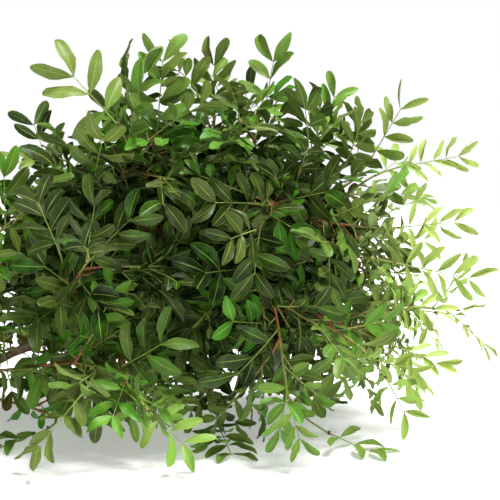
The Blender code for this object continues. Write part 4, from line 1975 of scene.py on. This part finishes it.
@dataclass
class LeafyShoots:
    """The leafy shoots and twigs: stems, stalks, leaflets and buds."""

    shapes: tuple[LeafletShape, ...] = (
        LeafletShape(Outline.ELLIPTIC, 0.22, 0.045, 0.10, 0.00),
        LeafletShape(Outline.ELLIPTIC, 0.42, 0.075, -0.30, 0.05, 0.1),
        LeafletShape(Outline.ELLIPTIC, 0.12, 0.030, 0.50, 0.07, 0.5),
        LeafletShape(Outline.ELLIPTIC, 0.30, 0.110, -0.15, 0.06, 0.8),
        LeafletShape(Outline.BLUNT, 0.26, 0.060, -0.20, 0.05, 0.3),
        LeafletShape(Outline.BLUNT, 0.08, 0.100, 0.35, 0.06, 0.7),
        LeafletShape(Outline.BLUNT, 0.55, 0.050, 0.10, 0.04, 0.6),
        LeafletShape(Outline.SLENDER, 0.34, 0.065, 0.45, 0.04, 0.2),
        LeafletShape(Outline.SLENDER, 0.18, 0.130, -0.40, 0.05, 0.9),
        LeafletShape(Outline.ELLIPTIC, 0.65, 0.090, 0.20, 0.04, 0.4),
        LeafletShape(Outline.NIBBLED, 0.20, 0.050, 0.10, 0.03, 0.0),
    )
    nibbled_share: float = 0.02
    dry_share: float = 0.003
    drawn_half_width: float = 0.20
    lying_over: Pair = (0.0006, 0.0003)
    stem_sides: int = 8
    stem_steps: int = 3
    base_depth: float = 0.0022
    foot_swell: float = 1.5
    twig_age: float = 0.55
    stalk_samples: int = 8
    stalk_radii: Pair = (0.00062, 0.00032)
    stalk_foot: float = 1.7
    width_spread: Pair = (0.84, 1.12)
    roll_spread: float = 0.33 * 1.3
    turn_spread: float = 0.33 * 0.5
    tone_spread: Pair = (0.05, 1.1)
    bright_share: float = 0.15
    bright_tone: float = 0.6
    # Where the leaves' painted light starts and ends, and how much the sides count in it; inside
    # the crown is painted shade
    lit_from: Pair = (0.46, 0.95)
    side_light: float = 0.20
    young_slimness: float = 0.40
    bud_share: float = 0.35
    bud_length: float = 0.0026
    end_bud_length: float = 0.0034
    young_from: float = 0.045
    young_to: float = 0.168
    front_youth: float = 0.85
    front_spread: Pair = (0.45, 1.1)
    least_youth: float = 0.03
    tip_youth: float = 0.24
    youth_spread: float = 0.2
    shaded_youth: float = 0.1
    leaflet_youth_spread: float = 0.08
    leaflet_tone_spread: float = 0.2
    length_spread: Pair = (0.94, 1.05)
    most_warmth: float = 0.98
    stalk_redness: float = 0.35
    redness_fade: float = 0.6
    age_fade: float = 0.9
    bud_way: Pair = (0.5, 0.8)
    bud_seat: float = 0.6
    bud_spread: Pair = (0.7, 1.2)
    bud_width: float = 0.8
    end_bud_width: float = 0.75

    def tree(self) -> tuple[NodeTree, dict]:
        """Builds the tree that grows a shoot from its skeleton.

        Returns:
            The tree, and its inputs' values by identifier.
        """
        inputs = {
            "Leaflet Shapes": ("NodeSocketCollection", self.leaflet_store()),
            "Bud Shape": ("NodeSocketObject", self.bud_store()),
            "Stem Sides": ("NodeSocketInt", self.stem_sides),
            "Surface Height": ("NodeSocketFloat", 0.0),
            "Leaf Upper": ("NodeSocketMaterial", LEAF_UPPER.build()),
            "Leaf Under": ("NodeSocketMaterial", LEAF_UNDER.build()),
            "Young Stem": ("NodeSocketMaterial", YoungStem().build()),
            "Bud Scale": ("NodeSocketMaterial", BudScale().build()),
        }
        tree, given, values = new_group("leafy_shoot", inputs)
        add = partial(add_node, tree)
        part, shape, turn, size, over, finish = (
            add(ATTRIBUTE, {"Name": name}, "Attribute", data_type=kind)
            for name, kind in (
                ("part", "INT"),
                ("shape", "INT"),
                ("turn", "QUATERNION"),
                ("size", "FLOAT_VECTOR"),
                ("over", "FLOAT"),
                ("finish", "INT"),
            )
        )
        shapes = {0: given["Leaflet Shapes"], "Separate Children": True, "Reset Children": True}
        store = add("GeometryNodeCollectionInfo", shapes)
        bud = add("GeometryNodeObjectInfo", (given["Bud Shape"],), "Geometry")
        grown = []
        for kind, instance, choice in (
            (Part.LEAFLET, store, {"Pick Instance": True, "Instance Index": shape}),
            (Part.BUD, bud, {}),
        ):
            chosen = add(COMPARE, {2: part, 3: int(kind)}, **EQUAL)
            placing = {"Points": given["Geometry"], "Selection": chosen, "Instance": instance}
            placing |= choice | {"Rotation": turn, "Scale": size}
            grown.append(add("GeometryNodeInstanceOnPoints", placing))

        tubes = add_tubes(add, given["Geometry"], given["Stem Sides"])
        mark = {"Geometry": tubes, "Name": "finish", "Value": int(Finish.YOUNG_STEM)}
        settings = {"data_type": "INT", "domain": "FACE"}
        grown.append(add("GeometryNodeStoreNamedAttribute", mark, **settings))

        shown = add("GeometryNodeJoinGeometry", (grown,))
        shown = add("GeometryNodeRealizeInstances", (shown,))
        where = add("GeometryNodeInputPosition")
        axes = add("ShaderNodeSeparateXYZ", (where,)).node.outputs
        least = add(MATH, (given["Surface Height"], over), **PLUS)
        height = add(MATH, (axes["Z"], least), operation="MAXIMUM")
        laid = add("ShaderNodeCombineXYZ", (axes["X"], axes["Y"], height))
        shown = add("GeometryNodeSetPosition", {"Geometry": shown, "Position": laid})
        shown = add("GeometryNodeSetShadeSmooth", {0: shown, "Shade Smooth": True})
        for code, label in zip(Finish, ("Leaf Upper", "Leaf Under", "Young Stem", "Bud Scale")):
            chosen = add(COMPARE, {2: finish, 3: int(code)}, **EQUAL)
            chosen = {"Geometry": shown, "Selection": chosen, "Material": given[label]}
            shown = add("GeometryNodeSetMaterial", chosen)
        add("NodeGroupOutput", (shown,))
        return tree, values

    def leaflet_store(self) -> Collection:
        """Makes the leaflet shapes, which are removed once the shoots are made.

        Returns:
            Their collection.
        """
        self.store = bpy.data.collections.new("leaflet_shapes")
        bpy.context.scene.collection.children.link(self.store)
        for k, shape in enumerate(self.shapes):
            name = f"leaflet_{k:02d}"
            mesh = shape.mesh(name, self.drawn_half_width, self.lying_over)
            self.store.objects.link(bpy.data.objects.new(name, mesh))
        return self.store

    def bud_store(self) -> Object:
        """Makes the bud's shape, kept beside the leaflets' shapes.

        Returns:
            Its object.
        """
        bud = bpy.data.objects.new("zz_bud", BudShape().mesh("bud"))
        self.buds = bpy.data.collections.new("bud_shapes")
        bpy.context.scene.collection.children.link(self.buds)
        self.buds.objects.link(bud)
        return bud

    def clear_stores(self) -> None:
        """Removes the shapes that the tree has copied."""
        for store in (self.store, self.buds):
            for shape in list(store.objects):
                bpy.data.objects.remove(shape)
            bpy.data.collections.remove(store)

    def laid(self, point: Vector) -> Vector:
        """A point that would pass through the surface lies on it."""
        return Vector((point.x, point.y, max(point.z, LEAF.blade / 2)))

    def grow_leaf(self, skeleton: Skeleton, leaf: Leaf, draw: Random) -> None:
        """Adds a leaf's stalk and leaflets to the skeleton.

        Args:
            skeleton: The shoot's skeleton.
            leaf: The leaf.
            draw: The random draws.
        """
        root = LEAF.stalk_root
        reach = leaf.stalk() + leaf.leaflet * LEAF.stalk_end_ratio + root
        shares = even_shares(self.stalk_samples)
        path = [self.laid(leaf.bend(Vector((s * reach - root, 0, 0)))) for s in shares]
        radii = [blend(*self.stalk_radii, s) for s in shares]
        radii[0] *= self.stalk_foot
        redness = draw.uniform(0.0, self.stalk_redness) * (1 - leaf.youth)
        skeleton.chain(path, radii, [redness * (1 - self.redness_fade * s) for s in shares])

        # Painted shade: the tone falls towards the deep green inside the crown and is full at its
        # ends and top
        tone = draw.uniform(*self.tone_spread) * self.painted_light(leaf.place.translation)
        tone += self.bright_tone * (draw.random() < self.bright_share)
        warmth = draw.uniform(0.0, self.most_warmth)
        for k in range(leaf.pairs):
            along, angle, length = leaf.pair(k)
            wide = leaf.leaflet * LEAF.width_ratio / 2
            for side in (1, -1):
                foot = Vector((along, side * self.stalk_radii[1], 0.0))
                axis = Vector((cos(angle), side * sin(angle), 0.0))
                left = Vector((-axis.y, axis.x, 0.0))

                def on_blade(share: float, off: float) -> Vector:
                    """A point of the bent leaflet."""
                    out = share * length
                    spot = foot + axis * out + left * off * wide + UP * LEAF.lift(out)
                    return self.laid(leaf.bend(spot))

                base, tip = on_blade(0.0, 0.0), on_blade(1.0, 0.0)
                across = on_blade(0.5, 1.0) - on_blade(0.5, -1.0)
                ahead = (tip - base).normalized()
                across = (across - ahead * across.dot(ahead)).normalized()
                frame = Matrix((ahead, across, ahead.cross(across))).transposed()
                loose = min(base.z, tip.z) >= LEAF.blade
                roll = Quaternion((1, 0, 0), draw.gauss(0, loose * self.roll_spread))
                pitch = Quaternion((0, 1, 0), draw.gauss(0, loose * self.turn_spread))
                yaw = Quaternion((0, 0, 1), draw.gauss(0, loose * self.turn_spread))
                size = (tip - base).length * draw.uniform(*self.length_spread)
                ratio = LEAF.width_ratio / 2 / self.drawn_half_width
                width = size * ratio * draw.uniform(*self.width_spread)
                width *= 1 - self.young_slimness * leaf.youth
                last = len(self.shapes) - 1
                bitten = draw.random() < self.nibbled_share
                skeleton.add(
                    Part.LEAFLET,
                    base,
                    turn=frame.to_quaternion() @ yaw @ pitch @ roll,
                    size=Vector((size, width, size)),
                    shape=last if bitten else draw.randrange(last),
                    tone=clamped(tone + draw.uniform(-1, 1) * self.leaflet_tone_spread),
                    youth=clamped(leaf.youth + draw.uniform(-1, 1) * self.leaflet_youth_spread),
                    age=warmth if draw.random() > self.dry_share else 1.0,
                )

    def grow_stem(self, skeleton: Skeleton, shoot: Shoot, twig: bool) -> None:
        """Adds a shoot's or a twig's stem to the skeleton, its foot sunk into the wood.

        Args:
            skeleton: The piece's skeleton.
            shoot: The shoot.
            twig: Whether it is a twig, whose line starts inside its parent.
        """
        path = smooth_line(shoot.stem.path, self.stem_steps)
        if not twig:
            foot = path[0] - (path[1] - path[0]).normalized() * self.base_depth
            path = [foot, *path]
        shares = even_shares(len(path))
        radii = [blend(*shoot.stem.radii, share) for share in shares]
        radii[0] *= self.foot_swell
        radii[1] *= 1 + (self.foot_swell - 1) / 2
        oldest = self.twig_age if twig else 1.0
        ages = [oldest * (1.0 - self.age_fade * share**1.3) for share in shares]
        skeleton.chain(path, radii, ages)

    def grow_bud(self, skeleton: Skeleton, leaf: Leaf, radius: float, draw: Random) -> None:
        """Adds the bud between a leaf and its shoot.

        Args:
            skeleton: The shoot's skeleton.
            leaf: The leaf.
            radius: The shoot's radius there.
            draw: The random draws.
        """
        ahead, up = leaf.place.col[0].to_3d(), leaf.place.col[2].to_3d()
        way = (ahead * self.bud_way[0] + up * self.bud_way[1]).normalized()
        foot = leaf.place.translation + way * radius * self.bud_seat
        size = self.bud_length * draw.uniform(*self.bud_spread)
        width = size * self.bud_width
        turn = way.to_track_quat("X", "Z")
        skeleton.add(Part.BUD, foot, turn=turn, size=Vector((size, width, width)))

    def painted_light(self, place: Vector) -> float:
        """The painted light of a place of the crown, from 0 for painted shade inside to 1 at its
        ends and top.
        """
        low, high = self.lit_from
        return clamped((Crown().outness(place, self.side_light) - low) / (high - low))

    def youth_of(self, leaf: Leaf, share: float, draw: Random) -> float:
        """Tells how young a leaf looks: more so at its shoot's tip and at the branch's front, and
        less so in the painted shade inside the crown.

        Args:
            leaf: The leaf.
            share: How far along its shoot it is.
            draw: The random draws.

        Returns:
            From 0 for a full-grown leaf, or one in painted shade, to 1 for the youngest.
        """
        place = leaf.place.translation
        front = clamped((place.x - self.young_from) / (self.young_to - self.young_from)) ** 2
        front *= draw.uniform(*self.front_spread)
        grown = self.least_youth + self.tip_youth * share**4 + draw.uniform(0.0, self.youth_spread)
        # Painted shade: inside the crown the young yellow-green is held back
        grown *= blend(self.shaded_youth, 1.0, self.painted_light(place))
        return min(1.0, grown + self.front_youth * front)

    def build(self, growths: list[Growth], shift: Vector) -> list[Object]:
        """Builds every piece.

        Args:
            growths: What each piece shows.
            shift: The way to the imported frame.

        Returns:
            The finished pieces.
        """
        tree, values = self.tree()
        pieces = []
        for number, growth in enumerate(growths, 1):
            draw = Random(SEED * 3000 + number)
            skeleton = Skeleton()
            for shoot, own, twig in zip(growth.shoots, growth.leaves, growth.young_foot):
                self.grow_shoot(skeleton, shoot, own, twig, draw)
            carrier = skeleton.object(f"skeleton_{number:02d}", shift)
            piece = made_plain(carrier, tree, values, growth.name)
            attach(piece, "root")
            if growth.node:
                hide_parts(growth.node)
            pieces.append(piece)
        self.clear_stores()
        return pieces

    def grow_shoot(
        self, skeleton: Skeleton, shoot: Shoot, leaves: list[Leaf], twig: bool, draw: Random
    ) -> None:
        """Adds a shoot with its leaves and buds to a skeleton.

        Args:
            skeleton: The piece's skeleton.
            shoot: The shoot.
            leaves: Its leaves.
            twig: Whether it is a twig.
            draw: The random draws.
        """
        self.grow_stem(skeleton, shoot, twig)
        for leaf in leaves:
            _, _, radius = shoot.stem.nearest(leaf.place.translation)
            thick, thin = shoot.stem.radii
            share = (thick - radius) / (thick - thin)
            leaf.youth = self.youth_of(leaf, share, draw)
            self.grow_leaf(skeleton, leaf, draw)
            if draw.random() < self.bud_share:
                self.grow_bud(skeleton, leaf, radius, draw)
        end, along, _ = shoot.stem.at(1.0)
        size = Vector((1.0, self.end_bud_width, self.end_bud_width)) * self.end_bud_length
        skeleton.add(Part.BUD, end, turn=along.to_track_quat("X", "Z"), size=size)


@dataclass
class WoodyStem:
    """The woody stem: the trunk with its cut end, and its limbs, under bark."""

    sides: int = 14
    trunk_steps: int = 6
    limb_steps: int = 5
    knot_height: float = 0.0006
    knot_spacing_mm: float = 7.0
    fork_swell: float = 1.45
    fork_swell_share: float = 0.12
    cut_inset: float = 0.0008

    def tree(self, bark: Material) -> tuple[NodeTree, dict]:
        """Builds the tree that turns centre lines to knotty wood.

        Args:
            bark: The bark's material.

        Returns:
            The tree, and its inputs' values by identifier.
        """
        inputs = {
            "Sides": ("NodeSocketInt", self.sides),
            "Knot Height": ("NodeSocketFloat", self.knot_height),
            "Knot Scale": ("NodeSocketFloat", 1000 / self.knot_spacing_mm),
            "Seed": ("NodeSocketFloat", float(SEED)),
            "Bark": ("NodeSocketMaterial", bark),
        }
        tree, given, values = new_group("woody_stem", inputs)
        add = partial(add_node, tree)
        wood = add_tubes(add, given["Geometry"], given["Sides"])
        knots = {"Scale": given["Knot Scale"], "W": given["Seed"], "Detail": 2.0}
        knots = add(NOISE, knots, noise_dimensions="4D")
        knots = add(RANGE, (knots, 0.0, 1.0, -1.5, 1.5))
        amount = add(MATH, (knots, given["Knot Height"]), **TIMES)
        moved = {0: add("GeometryNodeInputNormal"), "Scale": amount}
        moved = add("ShaderNodeVectorMath", moved, operation="SCALE")
        wood = add("GeometryNodeSetPosition", {"Geometry": wood, "Offset": moved})
        wood = add("GeometryNodeSetShadeSmooth", {0: wood, "Shade Smooth": True})
        wood = add("GeometryNodeRealizeInstances", (wood,))
        wood = add("GeometryNodeSetMaterial", {0: wood, "Material": given["Bark"]})
        add("NodeGroupOutput", (wood,))
        return tree, values

    def build(self, trunk: Stem, limbs: list[Stem], shift: Vector) -> Object:
        """Builds the woody stem.

        Args:
            trunk: The main stem.
            limbs: The limbs.
            shift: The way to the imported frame.

        Returns:
            The finished piece.
        """
        skeleton = Skeleton()
        self.grow(skeleton, trunk, self.trunk_steps, swollen=False)
        for limb in limbs:
            self.grow(skeleton, limb, self.limb_steps, swollen=True)
        tree, values = self.tree(OldBark().build())
        carrier = skeleton.object("wood_skeleton", shift)
        piece = made_plain(carrier, tree, values, "woody_stem_dressed")
        self.dress_cut_end(piece, trunk.path[0] + shift)
        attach(piece, "root")
        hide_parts("woody_stem")
        return piece

    def grow(self, skeleton: Skeleton, stem: Stem, steps: int, swollen: bool) -> None:
        """Adds a woody stem to the skeleton.

        Args:
            skeleton: The skeleton.
            stem: The stem.
            steps: How many steps its line takes between each two of its points.
            swollen: Whether it widens where it forks off.
        """
        path = smooth_line(stem.path, steps)
        shares = even_shares(len(path))
        radii = [blend(*stem.radii, share) for share in shares]
        if swollen:
            for k, share in enumerate(shares):
                near = max(0.0, 1 - share / self.fork_swell_share)
                radii[k] *= 1 + (self.fork_swell - 1) * near
        skeleton.chain(path, radii, [1.0] * len(path))

    def dress_cut_end(self, piece: Object, centre: Vector) -> None:
        """Gives the cut end its bark ring and its wood.

        Args:
            piece: The woody stem.
            centre: The middle of the cut.
        """
        piece.data.materials.append(CutWood().build(centre))
        shape = bmesh.new()
        shape.from_mesh(piece.data)
        caps = [face for face in shape.faces if len(face.verts) == self.sides]
        cut = min(caps, key=lambda face: (face.calc_center_median() - centre).length)
        cut.smooth = False
        bmesh.ops.inset_region(shape, faces=[cut], thickness=self.cut_inset, depth=0.0)
        cut.material_index = len(piece.data.materials) - 1
        shape.to_mesh(piece.data)
        shape.free()


@dataclass
class Studio:
    """A pale lit floor, soft light and a camera at the photograph's viewing angle."""

    floor_colour: str = "#f9f9f8"
    floor_size: float = 6.0
    floor_glow: float = 0.40
    floor_roughness: float = 0.9
    world_strength: float = 0.04
    key_way: Triple = (0.34, -0.07, 1.0)
    key_strength: float = 6.0
    key_angle: float = radians(26)
    front_way: Triple = (0.10, -1.0, 0.35)
    front_strength: float = 0.40
    front_angle: float = radians(50)
    target: Triple = (0.02, 0.0, 0.158)
    view_width: float = 0.44
    elevation: float = radians(6)
    lens: float = 85.0
    sensor: float = 36.0

    def build(self, shift: Vector) -> None:
        """Sets the stage.

        Args:
            shift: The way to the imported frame.
        """
        self.floor()
        self.world()
        self.sun("top_light", Vector(self.key_way), self.key_strength, self.key_angle)
        self.sun("front_light", Vector(self.front_way), self.front_strength, self.front_angle)
        self.camera(Vector(self.target) + shift)

    def floor(self) -> None:
        """Makes the pale floor."""
        mesh = bpy.data.meshes.new("floor")
        half = self.floor_size / 2
        corners = [(-half, -half, 0.0), (half, -half, 0.0), (half, half, 0.0), (-half, half, 0.0)]
        mesh.from_pydata(corners, [], [(0, 1, 2, 3)])
        paper = bpy.data.materials.new("paper_floor")
        paper.use_nodes = True
        shader = paper.node_tree.nodes["Principled BSDF"]
        shader.inputs["Base Color"].default_value = linear(self.floor_colour)
        shader.inputs["Roughness"].default_value = self.floor_roughness
        shader.inputs["Emission Color"].default_value = linear(self.floor_colour)
        shader.inputs["Emission Strength"].default_value = self.floor_glow
        mesh.materials.append(paper)
        floor = linked("floor", mesh)
        floor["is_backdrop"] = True

    def world(self) -> None:
        """Makes the even white surroundings."""
        world = bpy.data.worlds.new("studio")
        world.use_nodes = True
        back = world.node_tree.nodes["Background"]
        back.inputs["Color"].default_value = (1.0, 1.0, 1.0, 1.0)
        seen = add_node(world.node_tree, "ShaderNodeLightPath", output="Is Camera Ray")
        levels = (seen, 0.0, 1.0, self.world_strength, 1.0)
        strength = add_node(world.node_tree, RANGE, levels)
        world.node_tree.links.new(strength, back.inputs["Strength"])
        bpy.context.scene.world = world
        bpy.context.scene.view_settings.view_transform = "Standard"

    def sun(self, name: str, source: Vector, strength: float, angle: float) -> None:
        """Adds a large, distant softbox, which lights the floor evenly.

        Args:
            name: Its name.
            source: The way to it.
            strength: Its strength.
            angle: How wide it looks from the branch.
        """
        light = bpy.data.lights.new(name, "SUN")
        light.energy = strength
        light.angle = angle
        linked(name, light).rotation_euler = source.to_track_quat("Z", "Y").to_euler()

    def camera(self, aim: Vector) -> None:
        """Places the camera.

        Args:
            aim: What it looks at.
        """
        data = bpy.data.cameras.new("camera")
        data.lens = self.lens
        data.sensor_width = self.sensor
        camera = linked("camera", data)
        distance = self.view_width * self.lens / self.sensor
        back = Vector((0.0, -cos(self.elevation), sin(self.elevation)))
        camera.location = aim + back * distance
        camera.rotation_euler = (-back).to_track_quat("-Z", "Y").to_euler()
        bpy.context.scene.camera = camera


BOX_MARGIN = 0.008
BARE_FRONT = 0.08
BARE_REAR = -0.12
BARE_BELOW = 0.07
SPARSE_FRONT = 0.12
STRIPPED_REAR = -0.17
STRIPPED_BELOW = 0.17
LEAFY_EVERY = 3


def grow_everything(
    rule: BranchRule,
    trunk: Stem,
    limbs: list[Stem],
    shoots: list[Shoot],
    placed: list[Space],
    shift: Vector,
) -> list[Growth]:
    """Grows the twigs and all leaves, and sorts them into pieces.

    Args:
        rule: The growth rule of the stems.
        trunk: The main stem.
        limbs: The limbs.
        shoots: The shoots.
        placed: The room that the stems take.
        shift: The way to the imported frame.

    Returns:
        What each piece shows.
    """
    leaf_rule = LeafRule(shoots, placed)
    leaves = leaf_rule.solid_leaves()
    low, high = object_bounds()
    margin = Vector([BOX_MARGIN] * 3)
    leaf_rule.box = (Vector(low) - shift - margin, Vector(high) - shift + margin)

    draws = [Random(SEED * 2000 + k) for k in range(len(shoots))]
    bushy = []
    for k, shoot in enumerate(shoots):
        shoot.vigour = rule.crown.lushness(shoot.stem.path[-1])
        tip = shoot.stem.path[-1]
        lying = shoot.last_leaf_pairs and shoot.last_leaf_end.z < 0
        if (lying and tip.x > BARE_FRONT) or (tip.x < BARE_REAR and tip.z < BARE_BELOW):
            continue
        if tip.x < SPARSE_FRONT:
            bushy.append((k, shoot))
        leaves[k] += leaf_rule.grow_at(k, shoot, leaf_rule.bare_slots(shoot.stem), draws[k])

    stems = [trunk, *limbs, *(shoot.stem for shoot in shoots)]
    twigs = TwigRule().grow(rule, stems)
    first_twig = len(shoots)
    for n, (_, twig) in enumerate(twigs):
        placed.append(Space.of_mesh(first_twig + n, rule.tube(twig.stem, 0)))
    twig_leaves = []
    for n, (_, twig) in enumerate(twigs):
        draw = Random(SEED * 5000 + n)
        tip = twig.stem.path[-1]
        slots = leaf_rule.twig_slots(twig.stem, rule.crown.outness(tip))
        if tip.x < STRIPPED_REAR and tip.z < STRIPPED_BELOW and n % LEAFY_EVERY:
            slots = slots[:1]
        twig_leaves.append(leaf_rule.grow_at(first_twig + n, twig, slots, draw))
    for k, shoot in bushy:
        leaves[k] += leaf_rule.grow_at(k, shoot, leaf_rule.between_slots(shoot.stem), draws[k])
    for n, (_, twig) in enumerate(twigs):
        draw = Random(SEED * 6000 + n)
        twig_leaves[n] += leaf_rule.inner_leaves(twig, rule.crown, draw)

    names = ["trunk_twigs", *(f"limb_twigs_{k:02d}" for k in range(1, len(limbs) + 1))]
    growths = [Growth(name, None, [], [], []) for name in names]
    for k, (shoot, own) in enumerate(zip(shoots, leaves), 1):
        node = f"leafy_shoot_{k:02d}"
        growths.append(Growth(f"{node}_dressed", node, [shoot], [own], [False]))
    for (parent, twig), own in zip(twigs, twig_leaves):
        growths[parent].shoots.append(twig)
        growths[parent].leaves.append(own)
        growths[parent].young_foot.append(True)
    LOG.info("%d twigs with %d leaves", len(twigs), sum(map(len, twig_leaves)))
    return [growth for growth in growths if growth.shoots]


def main() -> None:
    """Grows the branch again, dresses it and sets the stage."""
    logging.basicConfig(level=logging.INFO, format="%(message)s")
    for obj in list(bpy.data.objects):
        bpy.data.objects.remove(obj)
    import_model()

    rule = BranchRule()
    trunk = rule.trunk()
    limbs = rule.limbs(trunk)
    shoots = rule.shoots(trunk, limbs)
    wood = [rule.tube(stem, 1) for stem in [trunk, *limbs]]
    placed = [Space.of_mesh(None, *wood)]
    for number, shoot in enumerate(shoots):
        rule.seat(shoot.stem, placed[0].tree, 0)
        placed.append(Space.of_mesh(number, rule.tube(shoot.stem, 0)))
    corners = [vertex.co for mesh in wood for vertex in mesh.vertices]
    lowest = Vector(min(corner[axis] for corner in corners) for axis in range(3))
    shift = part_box("woody_stem")[0] - lowest
    LOG.info("%d shoots, shift %s", len(shoots), tuple(round(s, 6) for s in shift))

    growths = grow_everything(rule, trunk, limbs, shoots, placed, shift)
    leaf_count = sum(len(own) for growth in growths for own in growth.leaves)
    leaflets = 2 * sum(leaf.pairs for growth in growths for own in growth.leaves for leaf in own)
    LOG.info("%d leaves, %d leaflets", leaf_count, leaflets)

    for piece in [WoodyStem().build(trunk, limbs, shift), *LeafyShoots().build(growths, shift)]:
        faces = sum(len(face.vertices) - 2 for face in piece.data.polygons)
        LOG.info("%s: %d triangles", piece.name, faces)
    Studio().build(shift)


if __name__ == "__main__":
    main()
